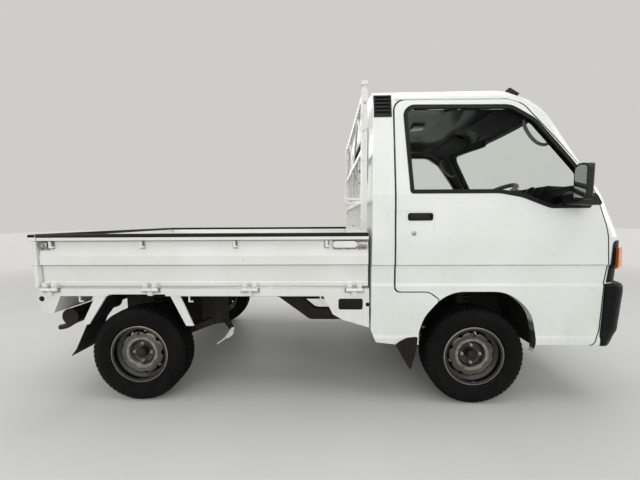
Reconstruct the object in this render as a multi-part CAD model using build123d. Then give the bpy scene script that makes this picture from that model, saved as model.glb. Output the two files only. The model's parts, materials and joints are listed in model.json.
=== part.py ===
from build123d import *
import math
import os

# A small cab-over-wheels truck with a drop-sided bed and a guard frame behind its cab.
# Millimetres. +X is forward, +Y is left, +Z is up, and the origin is on the ground under the middle of
# the body. The right side, at negative Y, is built first, and what the left side repeats is mirrored.

# Driving sizes of the whole truck
OVERALL_LENGTH = 3295
BODY_WIDTH = 1395
WHEELBASE = 1885
REAR_OVERHANG = 570
TRACK = 1210
HALF_LENGTH = OVERALL_LENGTH / 2
HALF_WIDTH = BODY_WIDTH / 2
REAR_AXLE_X = REAR_OVERHANG - HALF_LENGTH
FRONT_AXLE_X = REAR_AXLE_X + WHEELBASE

# Wheels
TYRE_RADIUS = 270
TYRE_HALF_WIDTH = 72.5
RIM_RADIUS = 166
RIM_HALF_WIDTH = 57
RIM_STEEL = 5
HUB_BORE_RADIUS = 16.3
SPINDLE_RADIUS = 16
HOLES_PER_WHEEL = 9
AXLE_Z = TYRE_RADIUS
WHEEL_Y = TRACK / 2

# Gaps
SHUT_GAP = 6
REAR_SHUT_GAP = 10
SEAT_GAP = 0.3
RUNNING_GAP = 5

# Cab walls and levels
CAB_REAR_X = 236
DOOR_THICKNESS = 42
ROOF_THICKNESS = 30
CREASE_Z = 785
BELT_Z = 1160
CAB_LOW_Z = 346
ROOF_Z = 1758
SHOULDER_DROP = 26
ROOF_FALL = 54
GLASS = 5
SEAL_WIDTH = 22

# Bed
BED_FRONT_X = 226
GATE_GAP = 6
GATE_THICKNESS = 46
GATE_LOW_Z = 663
GATE_HEIGHT = 296
BED_FLOOR_Z = 655
SILL_LOW_Z = 613
SILL_TOP_Z = 650
HINGE_RADIUS = 7.5
HINGE_Z = 651
GUARD_TOP_Z = 1774
HALF_BED = HALF_WIDTH - HINGE_RADIUS
HINGE_Y = HALF_BED
TAIL_HINGE_X = -HALF_LENGTH + HINGE_RADIUS
SILL_Y = HINGE_Y - HINGE_RADIUS - 6.5
REAR_SILL_X = TAIL_HINGE_X + HINGE_RADIUS + 6.5
SIDE_GATE_REAR_X = -HALF_LENGTH + GATE_THICKNESS + GATE_GAP
SIDE_GATE_FRONT_X = BED_FRONT_X - GATE_GAP

# Frame rails
RAIL_Y = 325
RAIL_WIDTH = 50
RAIL_HEIGHT = 90
REAR_RAIL_Z = 520
FRONT_RAIL_Z = 365

# Steering
KINGPIN_LOW_Y = 545
KINGPIN_LOW_Z = 190
KINGPIN_TOP_Y = 455
KINGPIN_TOP_Z = 630
CLAMP_TOP_Z = 470
STEERING_ARM = 110
WHEEL_TILT = 30
STEERING_WHEEL_RADIUS = 185
STEERING_X = 1030
STEERING_Y = 330
STEERING_Z = 1157


# Shape helpers

PLACES = {
    "XZ": (lambda a, b, depth: Vector(a, depth, b), Vector(0, 1, 0)),
    "YZ": (lambda a, b, depth: Vector(depth, a, b), Vector(1, 0, 0)),
    "XY": (lambda a, b, depth: Vector(a, b, depth), Vector(0, 0, 1)),
}


def outline(plane, corners, depth=0):
    """A closed wire on a plane, from rows of (first, second, corner radius)."""
    place = PLACES[plane][0]
    count = len(corners)
    spans = []
    for index, (first, second, radius) in enumerate(corners):
        here = Vector(first, second)
        back = (Vector(*corners[index - 1][:2]) - here).normalized()
        ahead = (Vector(*corners[(index + 1) % count][:2]) - here).normalized()
        if radius == 0:
            spans.append((here, None, here))
            continue
        half = math.radians(back.get_angle(ahead) / 2)
        setback = radius / math.tan(half)
        middle = here + (back + ahead).normalized() * (radius / math.sin(half) - radius)
        spans.append((here + back * setback, middle, here + ahead * setback))
    edges = []
    for index, (enter, middle, leave) in enumerate(spans):
        if middle is not None:
            three = [place(p.X, p.Y, depth) for p in (enter, middle, leave)]
            edges.append(Edge.make_three_point_arc(*three))
        following = spans[(index + 1) % count][0]
        if (following - leave).length > 0.01:
            edges.append(Edge.make_line(place(leave.X, leave.Y, depth), place(following.X, following.Y, depth)))
    return Wire(edges)


def prism(plane, corners, low, high, grow=0):
    """The outline's face, grown by an even margin if asked, drawn out from low to high."""
    face = Face(outline(plane, corners, low))
    if grow:
        face = offset(face, amount=grow, kind=Kind.ARC).faces()[0]
    return Solid.extrude(face, PLACES[plane][1] * (high - low))


def block(x0, x1, y0, y1, z0, z1):
    """A plain block between two corners."""
    return Solid.make_box(x1 - x0, y1 - y0, z1 - z0, Plane(origin=(x0, y0, z0)))


def rod(start, end, radius):
    """A round bar between two points."""
    start = Vector(*start)
    along = Vector(*end) - start
    return Solid.make_cylinder(radius, along.length, Plane(origin=start, z_dir=along))


def strip(start, end, width, thickness, across):
    """A flat bar between two points, its width along the given direction."""
    start = Vector(*start)
    along = Vector(*end) - start
    plane = Plane(origin=start, x_dir=Vector(*across), z_dir=along)
    return Solid.make_box(width, thickness, along.length, plane.offset(0)).moved(
        Location(plane.x_dir * (-width / 2) + plane.y_dir * (-thickness / 2)))


def fuse(shapes):
    """All shapes joined into one."""
    shapes = list(shapes)
    return shapes[0].fuse(*shapes[1:]) if len(shapes) > 1 else shapes[0]


def across(shape):
    """The same shape on the truck's left side."""
    return shape.mirror(Plane.XZ)


def both(shape):
    """The shape with its twin on the other side."""
    return fuse([shape, across(shape)])


def beside(line, distance):
    """A bent line's points moved to its left, with mitred corners."""
    points = [Vector(*row) for row in line]
    normals = []
    for here, ahead in zip(points, points[1:]):
        run = (ahead - here).normalized()
        normals.append(Vector(-run.Y, run.X))
    other = []
    for index, here in enumerate(points):
        before = normals[max(index - 1, 0)]
        after = normals[min(index, len(normals) - 1)]
        middle = (before + after).normalized()
        other.append(here + middle * (distance / middle.dot(after)))
    return [(p.X, p.Y) for p in other]


def sheet(plane, line, thickness, low, high):
    """A bent plate: rows of (first, second) are one face, and the thickness is laid to its left."""
    corners = [(x, y, 0) for x, y in line + beside(line, thickness)[::-1]]
    return prism(plane, corners, low, high)


# Cab form

# level z, rear wall x, foremost x, half width, corner radius
CAB_SECTIONS = [
    (300, 236, 1600, 668, 98),
    (352, 236, 1604, 685, 100),
    (382, 236, 1604, 685, 100),
    (400, 236, 1602, 681, 100),
    (672, 236, 1607, 690, 104),
    (688, 236, 1605, 686, 104),
    (CREASE_Z - 4, 237, 1611, 688, 106),
    (CREASE_Z + 1, 237, 1617, 695, 108),
    (930, 239, 1614, 694, 110),
    (BELT_Z, 242, 1519, 685, 112),
    (1582, 249, 1265, 619.7, 100),
    (1625, 249, 1231, 613, 105),
    (1673, 249, 1179, 605.6, 130),
    (1706, 249, 1115, 600.5, 160),
    (1735, 250, 1020, 596, 200),
    (1762, 250, 830, 592, 260),
    (1790, 250, 640, 588, 260),
]
BOW_RADIUS = 3800
# How far the sides lean in for each millimetre above the belt
SIDE_LEAN = 0.155
FOOT_DROP = 60


def plan_section(z, rear, front, half, corner, bow):
    """One level of the cab: straight sides, rounded front corners and a front bowed in plan."""
    centre_x = front - bow + math.sqrt((bow - corner) ** 2 - (half - corner) ** 2)
    sine = (half - corner) / (bow - corner)
    cosine = math.sqrt(1 - sine * sine)
    meet = Vector(centre_x + corner * cosine, half - corner + corner * sine, z)
    turn = math.radians(90 - math.degrees(math.asin(sine))) / 2 + math.asin(sine)
    middle = Vector(centre_x + corner * math.cos(turn), half - corner + corner * math.sin(turn), z)
    side = Vector(centre_x, half, z)
    back = Vector(rear, half, z)
    flip = lambda p: Vector(p.X, -p.Y, p.Z)
    return Wire([
        Edge.make_line(flip(back), flip(side)),
        Edge.make_three_point_arc(flip(side), flip(middle), flip(meet)),
        Edge.make_three_point_arc(flip(meet), Vector(front, 0, z), meet),
        Edge.make_three_point_arc(meet, middle, side),
        Edge.make_line(side, back),
        Edge.make_line(back, flip(back)),
    ])


def cab_walls(inset):
    """The cab's four upright walls moved inwards by the inset, drawn through its sections."""
    profile = beside([(front, z) for z, rear, front, half, corner in CAB_SECTIONS], inset)
    wires = []
    for (z, rear, _, half, corner), (front, level) in zip(CAB_SECTIONS, profile):
        side = half - inset
        if z > BELT_Z:
            side = side + SIDE_LEAN * (z - level)
        if inset > 0 and z == CAB_SECTIONS[0][0]:
            level = z - FOOT_DROP
        wires.append(plan_section(level, rear + inset, front, side, corner - inset * 0.8, BOW_RADIUS - inset))
    return Solid.make_loft(wires, ruled=True)


def roof_crown(drop):
    """The roof seen from the front: two soft shoulders and a slight crown."""
    shoulder = drop * 0.95
    right = [
        (-760, 200, 0),
        (-735 + shoulder, 1140, 0),
        (-611 + shoulder, 1637, 260),
        (-588 + shoulder, ROOF_Z - SHOULDER_DROP - drop, 60),
        (-250, ROOF_Z - drop, 1200),
    ]
    left = [(-y, z, radius) for y, z, radius in reversed(right)]
    return prism("YZ", right + left, 150, 1750)


def roof_line(drop):
    """The roof seen from the side, level at first and falling slightly forwards."""
    top = ROOF_Z + 1 - drop
    return prism("XZ", [
        (150, 200, 0),
        (150, top, 0),
        (700, top, 1500),
        (1760, top - ROOF_FALL, 0),
        (1760, 200, 0),
    ], -760, 760)


FORMS = {}


def cab_form(inset):
    """The whole closed cab moved inwards by the inset; each one is worked out once."""
    if inset not in FORMS:
        drop = inset if inset < DOOR_THICKNESS else inset - DOOR_THICKNESS + ROOF_THICKNESS
        FORMS[inset] = cab_walls(inset) & roof_crown(drop) & roof_line(drop)
    return FORMS[inset]


def skin(outer, inner, *cutters):
    """The layer between two insets of the cab form, kept inside each cutter."""
    layer = cab_form(outer)
    for cutter in cutters:
        layer = layer & cutter
    return layer - cab_form(inner)


# Openings in the cab, as seen from the side or the front

# x, z, corner radius
DOOR_OUTLINE = [
    (366, 643, 25),
    (545, 643, 70),
    (600, 603, 0),
    (600, 300, 0),
    (1121, 300, 0),
    (1121, CAB_LOW_Z, 0),
    (1424, CAB_LOW_Z + 6, 30),
    (1447, 425, 60),
    (1450, 690, 0),
    (1462, CREASE_Z, 60),
    (1450, 965, 400),
    (1390, 1146, 120),
    (1337, 1285, 300),
    (1040, 1647, 120),
    (960, 1668, 150),
    (366, 1674, 60),
]
DOOR_SLAB = [-760, -560]

# x, z, corner radius
WINDOW_OUTLINE = [
    (438, 1164, 18),
    (408, 1648, 62),
    (985, 1640, 130),
    (1108, 1562, 160),
    (1352, 1245, 60),
    (1366, 1082, 14),
    (1160, 1082, 90),
    (1010, 1141, 200),
    (900, 1162, 300),
]

# x and z from the wheel's centre, corner radius
ARCH_OUTLINE = [
    (-313, -120, 0),
    (-313, 140, 150),
    (-287, 230, 200),
    (-167, 372, 200),
    (152, 372, 200),
    (282, 265, 200),
    (313, 130, 200),
    (313, -120, 0),
]

# y, z, corner radius
WINDSCREEN_OUTLINE = [
    (-612, 1192, 70),
    (612, 1192, 70),
    (543, 1630, 80),
    (-543, 1630, 80),
]

# y, z, corner radius
REAR_WINDOW_OUTLINE = [
    (-480, 1225, 60),
    (480, 1225, 60),
    (455, 1600, 70),
    (-455, 1600, 70),
]


def arch(grow, near, far):
    """The front wheel's arch as a solid to cut with or to build on."""
    corners = [(FRONT_AXLE_X + x, AXLE_Z + z, radius) for x, z, radius in ARCH_OUTLINE]
    return prism("XZ", corners, near, far, grow)


def side_opening(corners, grow=0):
    """A cutter through the right side of the cab."""
    return prism("XZ", corners, DOOR_SLAB[0], DOOR_SLAB[1], grow)


# x, z, corner radius: the shallow pressing round the door handle, which runs on over the rear pillar
HANDLE_PRESSING = [
    (309, 938, 30),
    (563, 938, 30),
    (563, 1074, 30),
    (309, 1074, 30),
]
PRESSING_DEPTH = 2.5


def handle_pressing():
    """What the pressing takes off the right side."""
    return skin(-2, PRESSING_DEPTH, side_opening(HANDLE_PRESSING))


parts = {}

# Cab shell: one hollow with both door openings, windows, wheel arches and louvre seats cut

# x, z, corner radius: the side of the cab at its foot
CAB_FOOT = [
    (100, 0, 0),
    (1800, 0, 0),
    (1800, CAB_LOW_Z, 0),
    (383, CAB_LOW_Z, 0),
    (262, 360, 14),
    (CAB_REAR_X - 2, 430, 0),
    (100, 430, 0),
]
# The louvre lies in a tilted pocket near the top of the rear pillar
LOUVRE_X = [254, 350]
LOUVRE_HEIGHT = 126
LOUVRE_DEPTH = 8
LOUVRE_FOOT_Y = 620
LOUVRE_FOOT_Z = 1580
LOUVRE_TILT = 12
REAR_WALL_LOW_Z = 470


def lean_out(shape):
    """A shape made upright on the XZ plane, laid against the right rear pillar."""
    turned = shape.rotate(Axis.X, -LOUVRE_TILT)
    return turned.moved(Location((0, -LOUVRE_FOOT_Y, LOUVRE_FOOT_Z)))


def build_cab_shell():
    shell = cab_form(0) - cab_form(DOOR_THICKNESS)
    shell = shell - prism("XZ", CAB_FOOT, -760, 760)
    shell = shell - block(200, 300, -600, 600, 300, REAR_WALL_LOW_Z)
    rear_edge = [(x + SHUT_GAP - REAR_SHUT_GAP, z, radius) for x, z, radius in DOOR_OUTLINE[:2] + DOOR_OUTLINE[-2:]]
    opening = fuse([
        side_opening(DOOR_OUTLINE, SHUT_GAP),
        side_opening(rear_edge, SHUT_GAP),
        arch(0, DOOR_SLAB[0], DOOR_SLAB[1]),
    ])
    x0, x1 = LOUVRE_X
    seat = lean_out(block(x0 - SEAT_GAP, x1 + SEAT_GAP, -60, LOUVRE_DEPTH + SEAT_GAP,
                          -SEAT_GAP, LOUVRE_HEIGHT + SEAT_GAP))
    for cutter in (opening, seat, handle_pressing()):
        shell = shell - cutter
        shell = shell - across(cutter)
    shell = shell - prism("YZ", WINDSCREEN_OUTLINE, 900, 1700)
    shell = shell - prism("YZ", REAR_WINDOW_OUTLINE, 150, 400)
    return shell


parts["cab_shell"] = build_cab_shell()


# Cab floor: a bent pan over the wheels with a foot well ahead of them, and the two wheelhouses

FLOOR_STEEL = 6
PLATFORM_Z = 700
FOOTWELL_Z = 445
WHEELHOUSE_Y = 372
WHEELHOUSE_GROW = 12
WHEELHOUSE_LOW_Z = 330
# x, z of the pan's underside
FLOOR_LINE = [
    (CAB_REAR_X + 30, PLATFORM_Z),
    (1050, PLATFORM_Z),
    (1172, FOOTWELL_Z),
    (1520, FOOTWELL_Z),
    (1600, 640),
]


def build_cab_floor():
    pan = sheet("XZ", FLOOR_LINE, FLOOR_STEEL, -700, 700)
    well = arch(WHEELHOUSE_GROW + FLOOR_STEEL, -700, -WHEELHOUSE_Y)
    hollow = arch(WHEELHOUSE_GROW, -760, -WHEELHOUSE_Y - FLOOR_STEEL)
    well = well - hollow
    well = well & block(200, 1600, -700, 0, WHEELHOUSE_LOW_Z, 900)
    inside = cab_form(DOOR_THICKNESS + SEAT_GAP)
    return fuse([pan, well, across(well)]) & inside


parts["cab_floor"] = build_cab_floor()

# All that is under the floor's top face, cut from what stands on it
UNDER_FLOOR = prism("XZ", [(x, z, 0) for x, z in beside(FLOOR_LINE, FLOOR_STEEL + SEAT_GAP)] + [
    (FLOOR_LINE[-1][0], 200, 0),
    (FLOOR_LINE[0][0], 200, 0),
], -700, 700)


# Glass and its rubber

parts["cab_glass"] = fuse([
    skin(14, 14 + GLASS, prism("YZ", WINDSCREEN_OUTLINE, 900, 1700, -SEAL_WIDTH)),
    skin(14, 14 + GLASS, prism("YZ", REAR_WINDOW_OUTLINE, 150, 400, -SEAL_WIDTH)),
])


def ring(outer, inner, plane, corners, low, high, width):
    """A rubber seal that fills an opening's edge."""
    whole = skin(outer, inner, prism(plane, corners, low, high, -SEAT_GAP))
    return whole - prism(plane, corners, low - 10, high + 10, SEAT_GAP - width)


parts["screen_seals"] = fuse([
    ring(-2, 28, "YZ", WINDSCREEN_OUTLINE, 900, 1700, SEAL_WIDTH),
    ring(-2, 28, "YZ", REAR_WINDOW_OUTLINE, 150, 400, SEAL_WIDTH),
])


# Doors

HANDLE = [425, 557, 1022, 1063]
HANDLE_BED_Y = 672
# x, z, corner radius
HANDLE_OUTLINE = [(HANDLE[0], HANDLE[2], 12), (HANDLE[1], HANDLE[2], 12), (HANDLE[1], HANDLE[3], 12),
                  (HANDLE[0], HANDLE[3], 12)]


def build_door():
    door = skin(0, DOOR_THICKNESS, side_opening(DOOR_OUTLINE))
    door = door - arch(0, DOOR_SLAB[0], DOOR_SLAB[1])
    door = door - side_opening(WINDOW_OUTLINE)
    door = door - handle_pressing()
    return door - prism("XZ", HANDLE_OUTLINE, -760, -HANDLE_BED_Y)


def build_handle():
    """A dark cup let into the door, with the lifting paddle inside it."""
    cup = prism("XZ", HANDLE_OUTLINE, -760, -HANDLE_BED_Y - SEAT_GAP, -SEAT_GAP)
    cup = cup - prism("XZ", HANDLE_OUTLINE, -760, -HANDLE_BED_Y - 4, -5)
    x0, x1, z0, z1 = HANDLE
    paddle = prism("XZ", [(x0 + 10, z0 + 14, 8), (x1 - 36, z0 + 14, 8), (x1 - 36, z1 - 4, 8),
                          (x0 + 10, z1 - 4, 8)], -HANDLE_BED_Y - 17, -HANDLE_BED_Y - 2)
    return cup.fuse(paddle) & cab_form(0)


DOOR = build_door()
parts["door_right"] = DOOR
parts["door_left"] = across(DOOR)
parts["handle_right"] = build_handle()
parts["handle_left"] = across(parts["handle_right"])

DOOR_GLASS = skin(14, 14 + GLASS, side_opening(WINDOW_OUTLINE, -SEAL_WIDTH))
parts["door_glass_right"] = DOOR_GLASS
parts["door_glass_left"] = across(DOOR_GLASS)


# Door mirror: a sail in the window's front corner, an arm and a housing with its glass facing back

DOOR_SEAL = ring(-2, 28, "XZ", WINDOW_OUTLINE, DOOR_SLAB[0], DOOR_SLAB[1], SEAL_WIDTH)
parts["window_seal_right"] = DOOR_SEAL
parts["window_seal_left"] = across(DOOR_SEAL)


# x, y, corner radius: the mirror's housing from above, its glass between the first and the last corner
MIRROR_PLAN = [
    (1175, -862, 5),
    (1207, -864, 16),
    (1246, -808, 60),
    (1254, -757, 12),
    (1206, -757, 4),
]
# y, z, corner radius: the same from behind
MIRROR_FACE = [
    (-864, 1112, 26),
    (-757, 1124, 16),
    (-757, 1278, 28),
    (-800, 1290, 70),
    (-864, 1279, 34),
]
MIRROR_RIM = 7
MIRROR_RECESS = 4


def build_mirror():
    sail = skin(-4, 13, side_opening([
        (1172, 1086, 0),
        (1358, 1086, 8),
        (1345, 1232, 20),
        (1300, 1150, 40),
    ]))
    arm = prism("XZ", [
        (1214, 1099, 10),
        (1338, 1092, 10),
        (1306, 1146, 30),
        (1246, 1168, 16),
        (1214, 1150, 8),
    ], -778, -684)
    housing = prism("XY", MIRROR_PLAN, 1090, 1310) & prism("YZ", MIRROR_FACE, 1100, 1300)
    glass_line = [(x - 1, y) for x, y, radius in (MIRROR_PLAN[-1], MIRROR_PLAN[0])]
    recess = sheet("XY", glass_line, MIRROR_RECESS + 1, 1090, 1310)
    recess = recess & prism("YZ", MIRROR_FACE, 1100, 1300, -MIRROR_RIM)
    return fuse([sail, arm, housing - recess]) - DOOR_SEAL


MIRROR = build_mirror()
parts["mirror_right"] = MIRROR
parts["mirror_left"] = across(MIRROR)


# Front panel: garnish band with lamps and indicators, bumper, louvres, wipers

# level z, foremost x, half width
BUMPER_SECTIONS = [
    (341, 1596, 662),
    (354, 1612, 677),
    (430, 1637, 690),
    (640, HALF_LENGTH, HALF_WIDTH),
    (668, HALF_LENGTH - 0.5, HALF_WIDTH - 0.5),
    (680, HALF_LENGTH - 6, HALF_WIDTH - 4),
    (686, HALF_LENGTH - 17, HALF_WIDTH - 12),
]
BUMPER_REAR_X = 1456
BUMPER_CORNER = 88
NUMBER_PLATE_HOLES = 210
PLATE_HOLE_RADIUS = 3.3
PLATE_Z = 500


def build_bumper():
    wires = [plan_section(z, BUMPER_REAR_X, front, half, BUMPER_CORNER, BOW_RADIUS)
             for z, front, half in BUMPER_SECTIONS]
    bumper = Solid.make_loft(wires, ruled=True) - cab_form(-SEAT_GAP)
    low = block(1300, 1700, -700, 700, 300, 341)
    bumper = bumper - low
    bumper = bumper - block(1300, 1560, -640, 640, 300, CAB_LOW_Z + 40)
    for side in (-1, 1):
        y = side * NUMBER_PLATE_HOLES / 2
        bumper = bumper - rod((1560, y, PLATE_Z), (1700, y, PLATE_Z), PLATE_HOLE_RADIUS)
    return bumper


parts["front_bumper"] = build_bumper()

# x, z, corner radius: the dark panel from the side; it wraps round to the door's gap
GARNISH_OUTLINE = [
    (1466, 692, 0),
    (1474, 785, 0),
    (1484, 896, 8),
    (1496, 912, 14),
    (1700, 912, 0),
    (1700, 692, 0),
]
GARNISH_PROUD = 4
LAMP_PROUD = 14
INDICATOR_PROUD = 17
INDICATOR_REAR_X = 1502
# y, z, corner radius
HEADLAMP_OUTLINE = [
    (-566, 738, 14),
    (-322, 738, 14),
    (-322, 892, 14),
    (-566, 892, 14),
]
INDICATOR = [-700, -580, 765, 875]


def build_front():
    inward = cab_form(-SEAT_GAP)
    band = cab_form(-GARNISH_PROUD) & prism("XZ", GARNISH_OUTLINE, -760, 760)
    lamp_hole = prism("YZ", HEADLAMP_OUTLINE, 1500, 1700, SEAT_GAP)
    y0, y1, z0, z1 = INDICATOR
    blink_hole = block(INDICATOR_REAR_X - SEAT_GAP, 1700, y0 - 40, y1 + SEAT_GAP, z0 - SEAT_GAP, z1 + SEAT_GAP)
    lamp = (cab_form(-LAMP_PROUD) & prism("YZ", HEADLAMP_OUTLINE, 1500, 1700)) - inward
    blink = (cab_form(-INDICATOR_PROUD) & block(INDICATOR_REAR_X, 1700, y0 - 40, y1, z0, z1)) - inward
    slots = [block(1560, 1700, -290, 290, z, z + 12) for z in (752, 786, 820, 854)]
    band = band - inward
    for cutter in (lamp_hole, blink_hole):
        band = band - cutter
        band = band - across(cutter)
    for slot in slots:
        band = band - (slot - cab_form(-1))
    return band, both(lamp), both(blink)


parts["front_garnish"], parts["headlamps"], parts["indicators"] = build_front()


LOUVRE_SLATS = 5
LOUVRE_RIM = 8


def build_louvre():
    x0, x1 = LOUVRE_X
    frame = block(x0, x1, -3, LOUVRE_DEPTH, 0, LOUVRE_HEIGHT)
    pocket = block(x0 + LOUVRE_RIM, x1 - LOUVRE_RIM, -4, LOUVRE_DEPTH - 3, LOUVRE_RIM, LOUVRE_HEIGHT - LOUVRE_RIM)
    pitch = (LOUVRE_HEIGHT - 2 * LOUVRE_RIM) / LOUVRE_SLATS
    slats = []
    for number in range(LOUVRE_SLATS):
        low = LOUVRE_RIM + pitch * (number + 0.1)
        slats.append(prism("YZ", [(-2, low, 0), (LOUVRE_DEPTH - 3, low + pitch * 0.6, 0),
                                  (LOUVRE_DEPTH - 3, low + pitch * 0.8, 0), (-2, low + pitch * 0.2, 0)],
                           x0 + LOUVRE_RIM, x1 - LOUVRE_RIM))
    return lean_out(fuse([frame - pocket] + slats))


ANTENNA = [(978, 1700), (1040, 1700), (1036, 1706), (990, 1734), (984, 1734)]


def build_trim():
    base = prism("XZ", [(x, z, 0) for x, z in ANTENNA], -590, -562)
    base = base - cab_form(-SEAT_GAP)
    return fuse([both(build_louvre()), base])


parts["cab_trim"] = build_trim()


# Windscreen plane, for the wipers: the centre line from the belt to the roof
SCREEN_FOOT = Vector(1519, 0, BELT_Z)
SCREEN_RUN = (Vector(1124, 0, 1800) - SCREEN_FOOT).normalized()
SCREEN_OUT = Vector(SCREEN_RUN.Z, 0, -SCREEN_RUN.X)


def build_wipers():
    pieces = []
    for y, reach in ((-420, 380), (120, 380)):
        bow = y * y / (2 * BOW_RADIUS)
        pivot = SCREEN_FOOT + SCREEN_RUN * 12 + Vector(-bow, y, 0)
        tip_y = y + reach
        tip_bow = tip_y * tip_y / (2 * BOW_RADIUS)
        tip = SCREEN_FOOT + SCREEN_RUN * 90 + Vector(-tip_bow, tip_y, 0)
        middle = (pivot + tip) * 0.5 + SCREEN_OUT * 12
        pieces.append(rod(pivot - SCREEN_OUT * 1, pivot + SCREEN_OUT * 26, 11))
        pieces.append(rod(pivot + SCREEN_OUT * 20, middle + SCREEN_OUT * 10, 5))
        pieces.append(rod(middle + SCREEN_OUT * 10, tip + SCREEN_OUT * 14, 5))
    return fuse(pieces) - cab_form(-SEAT_GAP)


parts["wipers"] = build_wipers()


# Inside the cab

def build_dashboard():
    desk = prism("XZ", [
        (1560, 1150, 0),
        (1440, 1178, 40),
        (1300, 1206, 20),
        (1262, 1150, 25),
        (1272, 1010, 30),
        (1330, 930, 30),
        (1560, 900, 0),
    ], -640, 640)
    binnacle = prism("XZ", [
        (1420, 1160, 0),
        (1400, 1215, 20),
        (1292, 1222, 15),
        (1262, 1150, 0),
    ], -480, -180)
    return fuse([desk, binnacle]) & cab_form(DOOR_THICKNESS + SEAT_GAP)


parts["dashboard"] = build_dashboard()

SEAT_Y = [120, 560]


def build_seats():
    y0, y1 = SEAT_Y
    cushion = prism("XZ", [
        (395, PLATFORM_Z + FLOOR_STEEL + SEAT_GAP, 0),
        (880, PLATFORM_Z + FLOOR_STEEL + SEAT_GAP, 20),
        (905, 880, 45),
        (640, 905, 300),
        (395, 870, 0),
    ], -y1, -y0)
    back = prism("XZ", [
        (330, 760, 20),
        (405, 760, 20),
        (418, 900, 0),
        (465, 905, 20),
        (380, 1290, 30),
        (352, 1480, 30),
        (302, 1480, 25),
        (288, 1250, 60),
    ], -y1 + 10, -y0 - 10)
    seat = cushion.fuse(back)
    return both(seat)


parts["seats"] = build_seats()

HUB_DEPTH = 40
AXIS = Vector(-math.sin(math.radians(WHEEL_TILT)), 0, math.cos(math.radians(WHEEL_TILT)))
WHEEL_CENTRE = Vector(STEERING_X, -STEERING_Y, STEERING_Z)


def build_column():
    top = WHEEL_CENTRE - AXIS * (HUB_DEPTH + SEAT_GAP)
    foot = WHEEL_CENTRE - AXIS * 720
    shroud = rod(top, (WHEEL_CENTRE - AXIS * 250), 38)
    tube = rod(top, foot, 20)
    stalks = rod((top - AXIS * 25 + Vector(0, -170, 0)), (top - AXIS * 25 + Vector(0, 170, 0)), 6)
    hanger = block(1170, 1345, -STEERING_Y - 20, -STEERING_Y + 20, 940, 965)
    return fuse([shroud, tube, stalks, hanger]) - parts["dashboard"] - UNDER_FLOOR


parts["steering_column"] = build_column()


def build_steering_wheel():
    plane = Plane(origin=WHEEL_CENTRE, z_dir=AXIS)
    ring_shape = Solid.make_torus(STEERING_WHEEL_RADIUS - 13, 13, plane)
    hub = Solid.make_cylinder(45, HUB_DEPTH, Plane(origin=WHEEL_CENTRE - AXIS * HUB_DEPTH, z_dir=AXIS))
    spokes = []
    for angle in (30, 150, 270):
        turn = math.radians(angle)
        out = plane.y_dir * math.sin(turn) + plane.x_dir * math.cos(turn)
        start = WHEEL_CENTRE - AXIS * 22 + out * 30
        end = WHEEL_CENTRE - AXIS * 2 + out * (STEERING_WHEEL_RADIUS - 14)
        spokes.append(rod(start, end, 10))
    return fuse([ring_shape, hub] + spokes)


parts["steering_wheel"] = build_steering_wheel()


def build_fittings():
    mirror_x = 1116
    inner = prism("YZ", [(-110, 1548, 22), (110, 1548, 22), (110, 1604, 22), (-110, 1604, 22)],
                  mirror_x - 9, mirror_x + 9)
    inner = inner.rotate(Axis((mirror_x, 0, 0), (0, 0, 1)), 12)
    bend = (mirror_x + 30, 0, 1640)
    stalk = fuse([
        rod((mirror_x + 4, 0, 1580), bend, 6),
        rod(bend, (mirror_x - 12, 0, 1720), 6),
        Solid.make_sphere(6, Plane(origin=bend)),
    ])
    lever = rod((1072, 0, PLATFORM_Z - 90), (1040, 0, 930), 8)
    knob = Solid.make_sphere(20, Plane(origin=(1040, 0, 940)))
    brake = rod((700, 60, PLATFORM_Z + 30), (900, 60, PLATFORM_Z + 110), 12)
    brake_foot = block(680, 730, 48, 72, PLATFORM_Z + FLOOR_STEEL, PLATFORM_Z + 40)
    pieces = [inner, stalk, lever, knob, brake, brake_foot]
    return (fuse(pieces) & cab_form(DOOR_THICKNESS + SEAT_GAP)) - UNDER_FLOOR


parts["cab_fittings"] = build_fittings()


# Bed: deck, sills and cross-members

DECK_STEEL = 5
CROSS_MEMBERS = 5


def build_deck():
    deck = block(REAR_SILL_X, BED_FRONT_X, -SILL_Y, SILL_Y, SILL_TOP_Z, BED_FLOOR_Z)
    inner_y = SILL_Y - 45
    pieces = [deck]
    for side in (-1, 1):
        y0, y1 = sorted((side * inner_y, side * SILL_Y))
        sill = block(REAR_SILL_X, BED_FRONT_X, y0, y1, SILL_LOW_Z, SILL_TOP_Z)
        over_wheel = block(REAR_AXLE_X - 148, REAR_AXLE_X + 177, y0, y1, SILL_LOW_Z - 1, SILL_LOW_Z + 10)
        pieces.append(sill - over_wheel)
    for front in (REAR_SILL_X + 45, BED_FRONT_X):
        pieces.append(block(front - 45, front, -inner_y, inner_y, SILL_LOW_Z, SILL_TOP_Z))
    span = (BED_FRONT_X - REAR_SILL_X) / (CROSS_MEMBERS + 1)
    for number in range(CROSS_MEMBERS):
        x = REAR_SILL_X + span * (number + 1)
        pieces.append(block(x - 22, x + 22, -inner_y, inner_y, REAR_RAIL_Z + RAIL_HEIGHT, SILL_TOP_Z))
    for number in range(15):
        y = (number - 7) * 80
        pieces.append(block(REAR_SILL_X + 60, BED_FRONT_X - 60, y - 20, y + 20, BED_FLOOR_Z, BED_FLOOR_Z + 5))
    return fuse(pieces)


# How far the hinges stand along each gate, and how wide they are
SIDE_HINGES = [-1546, -978, -425, 145]
TAIL_HINGES = [-500, 0, 500]
KNUCKLE = 26
LEAF = 6


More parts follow.
